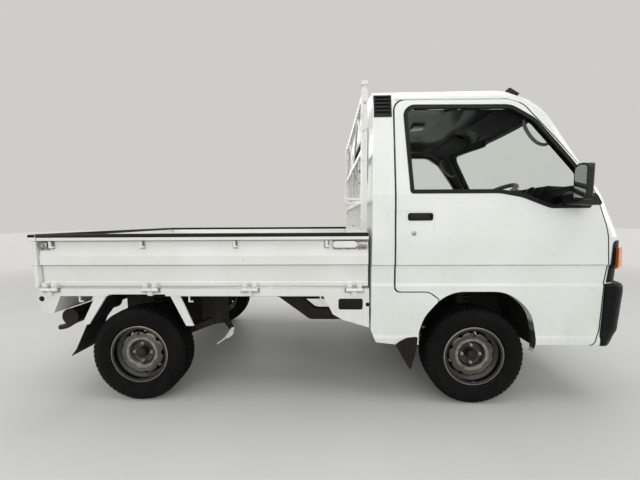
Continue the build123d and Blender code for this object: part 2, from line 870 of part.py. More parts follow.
def side_hinge_fixed(x):
    """The still half of a side gate's hinge: one knuckle and a leaf on the sill."""
    knuckle = rod((x - KNUCKLE / 2, -HINGE_Y, HINGE_Z), (x + KNUCKLE / 2, -HINGE_Y, HINGE_Z), HINGE_RADIUS)
    leaf = block(x - KNUCKLE / 2, x + KNUCKLE / 2, -HINGE_Y, -SILL_Y, HINGE_Z - 32, HINGE_Z)
    return knuckle.fuse(leaf)


def side_hinge_moving(x):
    """The gate's half: two knuckles with a leaf up its lower edge."""
    pieces = []
    for side in (-1, 1):
        near = x + side * (KNUCKLE / 2 + SEAT_GAP)
        far = near + side * KNUCKLE
        pieces.append(rod((near, -HINGE_Y, HINGE_Z), (far, -HINGE_Y, HINGE_Z), HINGE_RADIUS))
        x0, x1 = sorted((near, far))
        pieces.append(block(x0, x1, -HINGE_Y, -HINGE_Y + LEAF, HINGE_Z, GATE_LOW_Z + 26))
        pieces.append(block(x0, x1, -HINGE_Y, -HINGE_Y + 36, GATE_LOW_Z + 3, GATE_LOW_Z + 26))
    return fuse(pieces)


def to_tail(shape, y):
    """A side hinge made at x = 0 turned to the tailgate at the given y."""
    turned = shape.rotate(Axis.Z, -90)
    return turned.moved(Location((TAIL_HINGE_X + HINGE_Y, y, 0)))


SILL_HOOK_X = [-1398, -772, -39]
HOOK_RADIUS = 5
HOOK_DROP = 33


def build_hooks():
    """The rope hooks under the right sill."""
    hooks = []
    y = 12 - SILL_Y
    low = SILL_LOW_Z - HOOK_DROP
    for x in SILL_HOOK_X:
        hooks.append(rod((x, y, SILL_LOW_Z + 1), (x, y, low), HOOK_RADIUS))
        hooks.append(rod((x, y, low), (x + 22, y, low), HOOK_RADIUS))
        hooks.append(Solid.make_sphere(HOOK_RADIUS, Plane(origin=(x, y, low))))
    return fuse(hooks)


def build_bed_deck():
    deck = build_deck()
    fixed = fuse([side_hinge_fixed(x) for x in SIDE_HINGES])
    tail = fuse([to_tail(side_hinge_fixed(0), y) for y in TAIL_HINGES])
    hooks = build_hooks()
    return fuse([deck, fixed, across(fixed), tail, hooks, across(hooks)])


parts["bed_deck"] = build_bed_deck()


# Gates: the same pressed section all round. Rows: inset from the rail's face, height above the gate's foot
GATE_SECTION = [
    (32, 0),
    (22, 6),
    (21, 26),
    (27, 32),
    (24, 120),
    (9, 126),
    (9, 174),
    (20, 226),
    (20, 256),
    (0, 262),
    (0, GATE_HEIGHT),
    (GATE_THICKNESS, GATE_HEIGHT),
    (GATE_THICKNESS, 0),
]
HOOK_X = [-1526, -1017, -503, -4]


def gate_face(face_at):
    """The gate's section as rows across and up, its rail's face at the given place."""
    return [(face_at + inset, GATE_LOW_Z + height, 0) for inset, height in GATE_SECTION]


def build_side_gate():
    gate = prism("YZ", gate_face(-HALF_BED), SIDE_GATE_REAR_X, SIDE_GATE_FRONT_X)
    pieces = [gate] + [side_hinge_moving(x) for x in SIDE_HINGES]
    for x in HOOK_X:
        stem = block(x - 6, x + 6, -HALF_BED + 2, -HALF_BED + 24, 884, 921)
        foot = block(x - 6, x + 16, -HALF_BED + 2, -HALF_BED + 24, 884, 894)
        pieces += [stem, foot]
    latch = prism("XZ", [(30, 881, 17), (158, 881, 17), (158, 916, 17), (30, 916, 17)], -HALF_BED + 1, -HALF_BED + 24)
    catch = block(150, SIDE_GATE_FRONT_X - 4, -HALF_BED + 4, -HALF_BED + 24, 890, 906)
    return fuse(pieces + [latch, catch])


SIDE_GATE = build_side_gate()
parts["side_gate_right"] = SIDE_GATE
parts["side_gate_left"] = across(SIDE_GATE)


def build_tailgate():
    rows = [(-HALF_LENGTH + inset, GATE_LOW_Z + height, 0) for inset, height in GATE_SECTION]
    gate = prism("XZ", rows, -HALF_BED, HALF_BED)
    pieces = [gate] + [to_tail(side_hinge_moving(0), y) for y in TAIL_HINGES]
    for side in (-1, 1):
        lever = prism("YZ", [(side * 520 - 60, 881, 17), (side * 520 + 60, 881, 17), (side * 520 + 60, 916, 17),
                             (side * 520 - 60, 916, 17)], -HALF_LENGTH + 1, -HALF_LENGTH + 24)
        pieces.append(lever)
    return fuse(pieces)


parts["tailgate"] = build_tailgate()


# Headboard and the guard frame that stands on it

HEADBOARD = [188, BED_FRONT_X]
HEADBOARD_Y = HALF_BED - GATE_THICKNESS - 8
POST_Y = 600
POST_WIDTH = 33
HEADBOARD_TOP_Z = 960


def build_headboard():
    x0, x1 = HEADBOARD
    board = block(x0, x1, -HEADBOARD_Y, HEADBOARD_Y, BED_FLOOR_Z, HEADBOARD_TOP_Z)
    pocket = block(x0 - 1, x0 + 12, -HEADBOARD_Y + 60, HEADBOARD_Y - 60, BED_FLOOR_Z + 60, HEADBOARD_TOP_Z - 50)
    return board - pocket


parts["headboard"] = build_headboard()


GUARD_X = [188, 188 + POST_WIDTH]
POST_INNER_Y = POST_Y - 16 - SEAT_GAP
# level and height of each beam between the posts, from the headboard up
GUARD_BEAMS = [
    (HEADBOARD_TOP_Z, 20),
    (1120, 26),
    (1400, 26),
    (GUARD_TOP_Z - 86, 34),
]
GUARD_BARS = 5
GUARD_BAR_PITCH = 200
GUARD_BAYS = 4


def build_guard():
    x0, x1 = GUARD_X
    pieces = []
    for side in (-1, 1):
        y0, y1 = sorted((side * (POST_Y - 16), side * (POST_Y + 16)))
        pieces.append(fuse([
            block(x0, x1, y0, y1, HEADBOARD_TOP_Z, GUARD_TOP_Z - 46),
            block(x0 + 5, x1 - 5, y0 + 5, y1 - 5, GUARD_TOP_Z - 46, GUARD_TOP_Z - 20),
            block(x0, x1, y0, y1, GUARD_TOP_Z - 20, GUARD_TOP_Z),
        ]))
    for z, height in GUARD_BEAMS:
        pieces.append(block(x0 + 4, x1 - 4, -POST_INNER_Y, POST_INNER_Y, z, z + height))
    return Compound(pieces)


def build_lattice():
    """The upright bars between the lower beams and the zigzag of braces under the top one."""
    x0, x1 = GUARD_X
    pieces = []
    levels = [(z + height + SEAT_GAP, above - SEAT_GAP)
              for (z, height), (above, _) in zip(GUARD_BEAMS, GUARD_BEAMS[1:])]
    for low, high in levels[:2]:
        for number in range(GUARD_BARS):
            y = (number - 2) * GUARD_BAR_PITCH
            pieces.append(block(x0 + 8, x1 - 8, y - 8, y + 8, low, high))
    low, high = levels[2]
    step = 2 * POST_INNER_Y / GUARD_BAYS
    for bay in range(GUARD_BAYS):
        left = bay * step - POST_INNER_Y
        ends = [(low, high), (high, low)][bay % 2]
        brace = rod((x0 + 16, left - step * 0.1, ends[0] - (ends[1] - ends[0]) * 0.1),
                    (x0 + 16, left + step * 1.1, ends[1] + (ends[1] - ends[0]) * 0.1), 8)
        pieces.append(brace & block(x0, x1, left + SEAT_GAP / 2, left + step - SEAT_GAP / 2, low, high))
    return Compound(pieces)


parts["guard_frame"] = build_guard()
parts["guard_lattice"] = build_lattice()


# Skirts behind the cab, rear corner panels and lamps, mudguards, flaps and rope hooks

# x, z, corner radius
SKIRT_OUTLINE = [
    (-24, SILL_LOW_Z, 0),
    (-2, 575, 0),
    (28, 513, 25),
    (82, 482, 60),
    (BED_FRONT_X, 439, 0),
    (BED_FRONT_X, SILL_LOW_Z, 0),
]
# x, z, corner radius
SKIRT_HOLE = [(59, 538, 12), (192, 538, 12), (192, 600, 12), (59, 600, 12)]


def build_skirt():
    panel = prism("XZ", SKIRT_OUTLINE, -SILL_Y, -SILL_Y + 22) - prism("XZ", SKIRT_OUTLINE, -SILL_Y + 4, -SILL_Y + 30, -5)
    panel = panel - prism("XZ", SKIRT_HOLE, -SILL_Y - 1, -SILL_Y + 30)
    rim = prism("XZ", SKIRT_HOLE, -SILL_Y, -SILL_Y + 14, 4) - prism("XZ", SKIRT_HOLE, -SILL_Y - 1, -SILL_Y + 30)
    return both(panel.fuse(rim))


# x of the brace's two top corners, its two bottom corners, and their levels
BRACES = [
    [(-1301, SILL_LOW_Z), (-1238, SILL_LOW_Z), (-1348, 449), (-1388, 449)],
    [(-875, SILL_LOW_Z), (-820, SILL_LOW_Z), (-749, 443), (-792, 443)],
]


def build_braces():
    plates = [prism("XZ", [(x, z, 0) for x, z in corners], -SILL_Y + 4, -SILL_Y + 12) for corners in BRACES]
    return both(fuse(plates))


parts["skirt_panels"] = fuse([build_skirt(), build_braces()])

# x, z, corner radius
CORNER_OUTLINE = [
    (-1624, SILL_LOW_Z, 0),
    (-1614, 515, 8),
    (-1543, 514, 12),
    (-1497, SILL_LOW_Z, 0),
]


def build_rear_panels():
    box_shape = prism("XZ", CORNER_OUTLINE, -SILL_Y, -430)
    hollow = prism("XZ", CORNER_OUTLINE, -SILL_Y + 4, -434, -4)
    bar = block(-1620, -1600, -430, 430, 520, SILL_LOW_Z)
    for side in (-1, 1):
        y = side * NUMBER_PLATE_HOLES / 2
        bar = bar - rod((-1640, y, 590), (-1590, y, 590), PLATE_HOLE_RADIUS)
    return fuse([box_shape - hollow, across(box_shape - hollow), bar])


parts["rear_panels"] = build_rear_panels()


def build_rear_lamps():
    lens = prism("YZ", [(-655, 532, 8), (-450, 532, 8), (-450, 600, 8), (-655, 600, 8)], -1638, -1600)
    return both(lens) - prism("XZ", CORNER_OUTLINE, -700, 700, SEAT_GAP)


parts["rear_lamps"] = build_rear_lamps()


# rows of x, z: the sheet ahead of and behind each rear wheel
REAR_GUARD_LINES = [
    [(-1238, 612), (-1366, 449), (-1440, 300), (-1470, 262)],
    [(-775, 443), (-850, 612)],
]
GUARD_Y = [SILL_Y - 12.3, 520]
# The flap behind the front wheel hangs on the cab's inner wall
FLAP_WALL_Y = CAB_SECTIONS[3][3] - DOOR_THICKNESS
FLAP_Y = [FLAP_WALL_Y - SEAT_GAP, 480]


def build_mudguards():
    sheets = [sheet("XZ", line, 4, -GUARD_Y[0], -GUARD_Y[1]) for line in REAR_GUARD_LINES]
    flap = sheet("XZ", [(415, 400), (455, 210)], 5, -FLAP_Y[0], -FLAP_Y[1])
    return both(fuse(sheets + [flap]))


parts["mudguards"] = build_mudguards()


# Frame rails with cross-members

def build_frame():
    corners = [
        (-1596, REAR_RAIL_Z, 0),
        (-330, REAR_RAIL_Z, 60),
        (-120, FRONT_RAIL_Z, 60),
        (1540, FRONT_RAIL_Z, 0),
        (1540, FRONT_RAIL_Z + RAIL_HEIGHT - 20, 0),
        (-80, FRONT_RAIL_Z + RAIL_HEIGHT - 20, 60),
        (-290, REAR_RAIL_Z + RAIL_HEIGHT, 60),
        (-1596, REAR_RAIL_Z + RAIL_HEIGHT, 0),
    ]
    rail = prism("XZ", corners, -RAIL_Y - RAIL_WIDTH / 2, -RAIL_Y + RAIL_WIDTH / 2)
    return both(rail)


# x, z of each tube between the rails
FRAME_TUBES = [(-1568, 550), (-700, 550), (-380, 550), (60, 410), (600, 405), (1480, 405)]
FRAME_TUBE_RADIUS = 22


def build_cross_members():
    inner = RAIL_Y - RAIL_WIDTH / 2 - SEAT_GAP
    outer = RAIL_Y + RAIL_WIDTH / 2 + SEAT_GAP
    top = FRONT_RAIL_Z + RAIL_HEIGHT - 20 + SEAT_GAP
    pieces = [rod((x, -inner, z), (x, inner, z), FRAME_TUBE_RADIUS) for x, z in FRAME_TUBES]
    pieces.append(block(770, 845, -RAIL_Y - 10, RAIL_Y + 10, 205, FRONT_RAIL_Z - SEAT_GAP))
    # posts from the rails up to the bed's front and outriggers under the cab
    for side in (-1, 1):
        y0, y1 = sorted((side * (RAIL_Y - 20), side * (RAIL_Y + 20)))
        pieces.append(block(186, 226, y0, y1, top, SILL_LOW_Z - SEAT_GAP))
        y0, y1 = sorted((side * outer, side * 628))
        pieces.append(block(300, 340, y0, y1, FRONT_RAIL_Z + 10, FRONT_RAIL_Z + 60))
    return Compound(pieces)


parts["frame_rails"] = build_frame()
parts["cross_members"] = build_cross_members()


# Engine, gearbox, muffler and tank

ENGINE_REAR_X = -1470
MUFFLER_X = -1525
MUFFLER_Z = 466
MUFFLER_RADIUS = 48
PIPE_RADIUS = 18

parts["engine"] = fuse([
    block(ENGINE_REAR_X, -1190, -210, 210, 262, 560),
    block(-1190, -960, -120, 120, 225, 470),
])


def build_muffler():
    body = rod((MUFFLER_X, -600, MUFFLER_Z), (MUFFLER_X, -250, MUFFLER_Z), MUFFLER_RADIUS)
    pipe = rod((MUFFLER_X, -255, MUFFLER_Z), (MUFFLER_X, -150, MUFFLER_Z), PIPE_RADIUS)
    pipe_end = rod((MUFFLER_X, -150, MUFFLER_Z), (ENGINE_REAR_X - SEAT_GAP, -150, MUFFLER_Z), PIPE_RADIUS)
    bend = Solid.make_sphere(PIPE_RADIUS, Plane(origin=(MUFFLER_X, -150, MUFFLER_Z)))
    strap = block(MUFFLER_X - 12, MUFFLER_X + 12, -RAIL_Y - 10, -RAIL_Y + 10, MUFFLER_Z, REAR_RAIL_Z)
    return fuse([body, pipe, pipe_end, bend, strap])


parts["muffler"] = build_muffler()

parts["fuel_tank"] = prism("XZ", [(-420, 300, 40), (60, 300, 40), (60, 480, 30), (-420, 480, 30)],
                           RAIL_Y + RAIL_WIDTH / 2 + SEAT_GAP, 630)


# Front suspension, knuckles and steering

def kingpin(side, z):
    """A point on the steering axis at a height; side is -1 on the right."""
    share = (z - KINGPIN_LOW_Z) / (KINGPIN_TOP_Z - KINGPIN_LOW_Z)
    return Vector(FRONT_AXLE_X, side * (KINGPIN_LOW_Y + (KINGPIN_TOP_Y - KINGPIN_LOW_Y) * share), z)


BOSS_LOW_Z = 184
STUD_RADIUS = 8
ARM_Z = 232
ARM_HALF = 7
# How far the arm's end sinks when it is steered about its leaning pin
ARM_DIP = 14


def build_front_suspension():
    pieces = []
    upper = rod(kingpin(-1, CLAMP_TOP_Z + SEAT_GAP), kingpin(-1, 690), 14)
    cup = rod(kingpin(-1, 600), kingpin(-1, 690), 50)
    spring = []
    for number in range(6):
        start = kingpin(-1, 490 + number * 20)
        end = kingpin(-1, 500 + number * 20)
        spring.append(rod(start, end, 45))
    tube = rod(kingpin(-1, 482), kingpin(-1, 640), 30)
    strut = fuse([upper, cup, tube] + spring)
    roof = AXLE_Z + 372 + WHEELHOUSE_GROW - SEAT_GAP
    strut = strut & block(700, 900, -700, 0, 300, roof)
    arm = block(FRONT_AXLE_X - 26, FRONT_AXLE_X + 26, -KINGPIN_LOW_Y - 12, -RAIL_Y - 10.3, 147, 165)
    eye = block(FRONT_AXLE_X - 26, FRONT_AXLE_X + 26, -RAIL_Y - 40, -RAIL_Y - 10.3, 147, 240)
    stud = rod(kingpin(-1, 158), kingpin(-1, BOSS_LOW_Z - SEAT_GAP), STUD_RADIUS)
    side = fuse([arm, eye, stud])
    return fuse([strut, across(strut), side, across(side)])


parts["front_suspension"] = build_front_suspension()


def build_knuckle():
    upright = prism("YZ", [
        (-562, BOSS_LOW_Z + 14, 6),
        (-528, BOSS_LOW_Z + 14, 6),
        (-505, 320, 30),
        (-470, 440, 0),
        (-520, 450, 0),
        (-552, 350, 30),
        (-572, 320, 0),
        (-572, 220, 0),
    ], FRONT_AXLE_X - 22, FRONT_AXLE_X + 22)
    drum = rod((FRONT_AXLE_X, -562, AXLE_Z), (FRONT_AXLE_X, -580, AXLE_Z), 92)
    spindle = rod((FRONT_AXLE_X, -558, AXLE_Z), (FRONT_AXLE_X, -622, AXLE_Z), SPINDLE_RADIUS)
    clamp = rod(kingpin(-1, 410), kingpin(-1, CLAMP_TOP_Z), 26)
    boss = rod(kingpin(-1, BOSS_LOW_Z), kingpin(-1, BOSS_LOW_Z + 26), 17)
    arm = strip((FRONT_AXLE_X, -545, ARM_Z), (FRONT_AXLE_X - STEERING_ARM, -505, ARM_Z), 2 * ARM_HALF, 24, (0, 0, 1))
    eye_x = FRONT_AXLE_X - STEERING_ARM
    eye = rod((eye_x, -505, ARM_Z - ARM_HALF), (eye_x, -505, ARM_Z + ARM_HALF), 16)
    return fuse([upright, drum, spindle, clamp, boss, arm, eye])


KNUCKLE_RIGHT = build_knuckle()
parts["knuckle_right"] = KNUCKLE_RIGHT
parts["knuckle_left"] = across(KNUCKLE_RIGHT)

RACK_X = FRONT_AXLE_X - STEERING_ARM
RACK_Z = 198
RACK_REACH = 240


def build_track_rod():
    bar = rod((RACK_X, -512, RACK_Z), (RACK_X, 512, RACK_Z), 7)
    eye_top = ARM_Z - ARM_HALF - ARM_DIP - RUNNING_GAP
    eye = rod((RACK_X, -505, RACK_Z - 7), (RACK_X, -505, eye_top), 12)
    return fuse([bar, eye, across(eye)])


parts["track_rod"] = build_track_rod()


def build_rack():
    tube = rod((RACK_X, -RACK_REACH, RACK_Z), (RACK_X, RACK_REACH, RACK_Z), 22)
    tube = tube - rod((RACK_X, -RACK_REACH - 1, RACK_Z), (RACK_X, RACK_REACH + 1, RACK_Z), 7 + SEAT_GAP)
    ears = [block(RACK_X + 10, 770 - SEAT_GAP, y - 12, y + 12, RACK_Z + 9, RACK_Z + 29) for y in (-190, 190)]
    return fuse([tube] + ears)


parts["front_suspension"] = fuse([parts["front_suspension"], build_rack()])


# Rear suspension: trailing arms, springs, hub carriers and drive shafts

def build_rear_suspension():
    arm = strip((REAR_AXLE_X, -480, AXLE_Z), (-700, -430, 400), 60, 40, (0, 1, 0))
    bracket = block(-730, -670, -470, -RAIL_Y - RAIL_WIDTH / 2 - SEAT_GAP, 380, REAR_RAIL_Z + 60)
    carrier = rod((REAR_AXLE_X, -430, AXLE_Z), (REAR_AXLE_X, -558, AXLE_Z), 40)
    drum = rod((REAR_AXLE_X, -556, AXLE_Z), (REAR_AXLE_X, -580, AXLE_Z), 98)
    spindle = rod((REAR_AXLE_X, -558, AXLE_Z), (REAR_AXLE_X, -622, AXLE_Z), SPINDLE_RADIUS)
    shaft = rod((REAR_AXLE_X, -120.3, AXLE_Z), (REAR_AXLE_X, -440, AXLE_Z), 16)
    joint = rod((REAR_AXLE_X, -120.3, AXLE_Z), (REAR_AXLE_X, -190, AXLE_Z), 38)
    springs = [rod((REAR_AXLE_X, -430, AXLE_Z + 30), (REAR_AXLE_X, -430, 600), 22)]
    for number in range(8):
        z = 340 + number * 30
        springs.append(rod((REAR_AXLE_X, -430, z), (REAR_AXLE_X, -430, z + 12), 50))
    shelf = block(REAR_AXLE_X - 40, REAR_AXLE_X + 40, -480, -RAIL_Y - RAIL_WIDTH / 2 - SEAT_GAP, 575, 600)
    whole = fuse([arm, bracket, carrier, drum, spindle, shaft, joint, shelf] + springs)
    return both(whole)


parts["rear_suspension"] = build_rear_suspension()


# Wheels, with their outer face towards the right

def ring_about_y(rows, centre):
    """Rows of (radius, y, corner radius) turned about the wheel's axle."""
    face = Face(outline("XY", rows))
    return Solid.revolve(face, 360, Axis.Y).moved(Location(centre))


TYRE_ROWS = [
    (RIM_RADIUS - 12.5, -50.5, 0),
    (RIM_RADIUS + 1.5, -50.5, 0),
    (RIM_RADIUS + 4, -61, 0),
    (188, -69, 0),
    (210, -TYRE_HALF_WIDTH, 0),
    (236, -71, 0),
    (256, -65, 0),
    (TYRE_RADIUS - 3, -56, 0),
    (TYRE_RADIUS, -48, 0),
    (TYRE_RADIUS, 48, 0),
    (TYRE_RADIUS - 3, 56, 0),
    (256, 65, 0),
    (236, 71, 0),
    (210, TYRE_HALF_WIDTH, 0),
    (188, 69, 0),
    (RIM_RADIUS + 4, 61, 0),
    (RIM_RADIUS + 1.5, 50.5, 0),
    (RIM_RADIUS - 12.5, 50.5, 0),
]
WELL_RADIUS = RIM_RADIUS - 33
SEAT_RADIUS = RIM_RADIUS - 13
# The rim's outer face from its edge to the tyre's seat and the well, then back along the inner face
BARREL_ROWS = [
    (RIM_RADIUS, -RIM_HALF_WIDTH, 2.4),
    (RIM_RADIUS, -51, 0),
    (SEAT_RADIUS, -51, 0),
    (SEAT_RADIUS, -28, 0),
    (WELL_RADIUS, -18, 0),
    (WELL_RADIUS, 20, 0),
    (SEAT_RADIUS, 30, 0),
    (SEAT_RADIUS, 51, 0),
    (RIM_RADIUS, 51, 0),
    (RIM_RADIUS, RIM_HALF_WIDTH, 0),
    (SEAT_RADIUS - RIM_STEEL, RIM_HALF_WIDTH, 0),
    (SEAT_RADIUS - RIM_STEEL, 32, 0),
    (WELL_RADIUS - RIM_STEEL, 22, 0),
    (WELL_RADIUS - RIM_STEEL, -20, 0),
    (SEAT_RADIUS - RIM_STEEL, -30, 0),
    (SEAT_RADIUS - RIM_STEEL, -RIM_HALF_WIDTH, 2.4),
]
DISC_ROWS = [
    (20, -10, 0),
    (60, -10, 6),
    (76, -34, 6),
    (104, -34, 8),
    (WELL_RADIUS - 3, -14, 0),
    (WELL_RADIUS - 3, -8, 0),
    (102, -28.5, 0),
    (80, -28.5, 0),
    (64, -5, 0),
    (20, -5, 0),
]
NOTCH_CIRCLE = 117
NOTCH_RADIUS = 11.5


def build_tyre(centre):
    return ring_about_y(TYRE_ROWS, centre)


def build_rim(centre):
    rim = ring_about_y(BARREL_ROWS, (0, 0, 0)).fuse(ring_about_y(DISC_ROWS, (0, 0, 0)))
    for number in range(HOLES_PER_WHEEL):
        turn = math.radians(360 / HOLES_PER_WHEEL * number)
        x = NOTCH_CIRCLE * math.cos(turn)
        z = NOTCH_CIRCLE * math.sin(turn)
        rim = rim - rod((x, -60, z), (x, 0, z), NOTCH_RADIUS)
    hub = rod((0, -34, 0), (0, 20, 0), 28).fuse(rod((0, -5.5, 0), (0, 20, 0), 55))
    rim = rim.fuse(hub)
    rim = rim - rod((0, -20, 0), (0, 30, 0), HUB_BORE_RADIUS)
    return rim.moved(Location(centre))


for place, x in (("front", FRONT_AXLE_X), ("rear", REAR_AXLE_X)):
    tyre = build_tyre((x, -WHEEL_Y, AXLE_Z))
    rim = build_rim((x, -WHEEL_Y, AXLE_Z))
    parts[f"tyre_{place}_right"] = tyre
    parts[f"tyre_{place}_left"] = across(tyre)
    parts[f"rim_{place}_right"] = rim
    parts[f"rim_{place}_left"] = across(rim)


# Write one file for each piece
os.makedirs("parts", exist_ok=True)
for name, shape in parts.items():
    export_step(shape, f"parts/{name}.step")
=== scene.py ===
# %% [markdown]
# # A small truck, dressed for the picture
# The solids of the truck come from its CAD model, one object for each part. This lesson adds what makes it
# look real: rubber with a tread, stuffed seats, a lined cabin, small hardware, paint, light and a camera.
# Each step says what the thing is on a real truck, and why it is made the way it is.

import json
import math

import bpy
from mathutils import Matrix, Vector


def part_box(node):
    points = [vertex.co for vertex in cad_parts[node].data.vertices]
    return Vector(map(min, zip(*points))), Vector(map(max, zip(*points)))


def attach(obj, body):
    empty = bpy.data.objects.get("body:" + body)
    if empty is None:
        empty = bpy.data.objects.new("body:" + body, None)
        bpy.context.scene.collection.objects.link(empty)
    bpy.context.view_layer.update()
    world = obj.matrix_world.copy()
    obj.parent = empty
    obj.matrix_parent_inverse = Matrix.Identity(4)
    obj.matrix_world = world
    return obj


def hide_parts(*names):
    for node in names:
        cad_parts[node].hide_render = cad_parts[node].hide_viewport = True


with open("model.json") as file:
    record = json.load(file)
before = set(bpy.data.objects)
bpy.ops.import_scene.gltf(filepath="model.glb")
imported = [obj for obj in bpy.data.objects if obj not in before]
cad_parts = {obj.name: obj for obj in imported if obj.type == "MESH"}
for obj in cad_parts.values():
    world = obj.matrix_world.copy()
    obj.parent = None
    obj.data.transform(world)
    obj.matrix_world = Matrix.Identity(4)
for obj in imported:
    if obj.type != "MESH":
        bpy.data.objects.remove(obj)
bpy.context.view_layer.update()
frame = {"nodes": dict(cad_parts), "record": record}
nodes = frame["nodes"]

# %% [markdown]
# ## Hand tools
# Everything below is made with a few moves: add a primitive, draw a line of points and fill or spin it, push
# it out, round its edges. Each finished piece keeps its object at the origin, so that patterns tied to the
# object's own coordinates stay on it when a door or a wheel turns.


# %% Selecting and settling
def clear_selection():
    """Leave edit mode and select nothing."""
    if bpy.context.object and bpy.context.object.mode != "OBJECT":
        bpy.ops.object.mode_set(mode="OBJECT")
    bpy.ops.object.select_all(action="DESELECT")


def pick(*objects):
    """Select these objects, the first one active."""
    clear_selection()
    for piece in objects:
        piece.select_set(True)
    bpy.context.view_layer.objects.active = objects[0]


def settle(piece, name):
    """Name a new piece and bring its place into its mesh."""
    pick(piece)
    piece.name = name
    piece.data.name = name
    bpy.ops.object.transform_apply(location=True, rotation=True, scale=True)
    return piece


def edit(piece):
    """Go into edit mode with all of a piece selected."""
    pick(piece)
    bpy.ops.object.mode_set(mode="EDIT")
    bpy.ops.mesh.select_all(action="SELECT")


def leave():
    """Go back to object mode."""
    bpy.ops.object.mode_set(mode="OBJECT")


# %% Rounding, facing and joining
MERGE_REACH = 0.00002


def apply_all(piece):
    """Apply every modifier of a piece."""
    pick(piece)
    for modifier in list(piece.modifiers):
        bpy.ops.object.modifier_apply(modifier=modifier.name)
    return piece


def soften(piece, width, steps=2, angle=35):
    """Round the sharp edges of a piece."""
    bevel = piece.modifiers.new("soften", "BEVEL")
    bevel.width = width
    bevel.segments = steps
    bevel.limit_method = "ANGLE"
    bevel.angle_limit = math.radians(angle)
    return apply_all(piece)


def face_outwards(piece):
    """Merge doubles and turn every face outwards."""
    edit(piece)
    bpy.ops.mesh.remove_doubles(threshold=MERGE_REACH)
    bpy.ops.mesh.normals_make_consistent(inside=False)
    leave()
    return piece


def join(name, pieces):
    """Join pieces into one object."""
    pick(*pieces)
    bpy.ops.object.join()
    return settle(bpy.context.object, name)


SIDES = ((-1, "right"), (1, "left"))


# %% Blocks, bars and tubes
def slab(name, low, high, rounding=0.0, steps=2):
    """A block between two corners, its edges rounded."""
    clear_selection()
    low, high = Vector(low), Vector(high)
    bpy.ops.mesh.primitive_cube_add(size=1, location=(low + high) / 2)
    made = bpy.context.object
    made.scale = high - low
    settle(made, name)
    return soften(made, rounding, steps) if rounding else made


def bar(name, start, end, radius, sides=20, tip=None, rounding=0.0):
    """A round bar between two points, or a cone if its tip has another radius."""
    clear_selection()
    start, end = Vector(start), Vector(end)
    run = end - start
    bpy.ops.mesh.primitive_cone_add(
        vertices=sides, radius1=radius, radius2=radius if tip is None else tip, depth=run.length,
        location=(start + end) / 2, rotation=run.to_track_quat("Z", "Y").to_euler())
    made = settle(bpy.context.object, name)
    return soften(made, rounding) if rounding else made


def tube(name, points, radius, smooth=True, sides=3):
    """A bent round tube along a line of points."""
    clear_selection()
    curve = bpy.data.curves.new(name, "CURVE")
    curve.dimensions = "3D"
    curve.bevel_depth = radius
    curve.bevel_resolution = sides
    curve.use_fill_caps = True
    spline = curve.splines.new("NURBS" if smooth else "POLY")
    spline.points.add(len(points) - 1)
    for spot, place in zip(spline.points, points):
        spot.co = (*place, 1)
    if smooth:
        spline.order_u = 3
        spline.use_endpoint_u = True
    made = bpy.data.objects.new(name, curve)
    bpy.context.collection.objects.link(made)
    pick(made)
    bpy.ops.object.convert(target="MESH")
    return settle(bpy.context.object, name)


# %% Lines of points
def draw_line(name, points):
    """A line of points drawn one after another with the extrude tool."""
    clear_selection()
    bpy.ops.mesh.primitive_plane_add(size=0.01, location=points[0])
    made = settle(bpy.context.object, name)
    edit(made)
    bpy.ops.mesh.merge(type="CENTER")
    for here, ahead in zip(points, points[1:]):
        step = Vector(ahead) - Vector(here)
        bpy.ops.mesh.extrude_vertices_move(TRANSFORM_OT_translate={"value": step})
    leave()
    return made


# %% Outlines with round corners
def rounded(rows, steps=4):
    """Rows of (first, second, corner radius) as points, with an arc of a few steps at each corner."""
    points = []
    for index, (first, second, radius) in enumerate(rows):
        here = Vector((first, second))
        if radius == 0:
            points.append(tuple(here))
            continue
        back = (Vector(rows[index - 1][:2]) - here).normalized()
        ahead = (Vector(rows[(index + 1) % len(rows)][:2]) - here).normalized()
        half = back.angle(ahead) / 2
        centre = here + (back + ahead).normalized() * (radius / math.sin(half))
        start = here + back * (radius / math.tan(half)) - centre
        sweep = math.pi - 2 * half
        if back.x * ahead.y - back.y * ahead.x > 0:
            sweep = -sweep
        for step in range(steps + 1):
            angle = sweep * step / steps
            turned_by = Vector((start.x * math.cos(angle) - start.y * math.sin(angle),
                                start.x * math.sin(angle) + start.y * math.cos(angle)))
            points.append(tuple(centre + turned_by))
    return points


# %% Plates and turned rings
def plate(name, points, push, rounding=0.0, steps=2):
    """A flat outline filled and pushed out into a plate."""
    made = draw_line(name, points)
    edit(made)
    bpy.ops.mesh.edge_face_add()
    bpy.ops.mesh.extrude_region_move(TRANSFORM_OT_translate={"value": push})
    leave()
    face_outwards(made)
    return soften(made, rounding, steps) if rounding else made


def side_plate(name, rows, y, thickness, rounding=0.0, steps=2):
    """A plate with its outline seen from the side, in rows of x, z."""
    return plate(name, [(x, y, z) for x, z in rows], (0, thickness, 0), rounding, steps)


def turned(name, rows, centre, axis, steps):
    """Rows of (radius, height along the axis), closed into a ring and spun about the axis."""
    axis = Vector(axis)
    side = axis.orthogonal().normalized()
    points = [Vector(centre) + side * radius + axis * height for radius, height in rows]
    made = draw_line(name, points + points[:1])
    edit(made)
    bpy.ops.mesh.spin(steps=steps, angle=math.tau, center=centre, axis=axis)
    leave()
    return face_outwards(made)


# %% Repeats, turns and copies
def ring_of(piece, centre, axis, count):
    """Repeat a piece around an axis with the spin tool."""
    edit(piece)
    turn = math.tau * (count - 1) / count
    bpy.ops.mesh.spin(steps=count - 1, dupli=True, angle=turn, center=centre, axis=axis)
    leave()
    return piece


def turn_and_move(piece, angle, move):
    """Turn a piece about the Y axis through the origin, then move it."""
    edit(piece)
    bpy.ops.transform.rotate(value=angle, orient_axis="Y", center_override=(0, 0, 0))
    bpy.ops.transform.translate(value=move)
    leave()


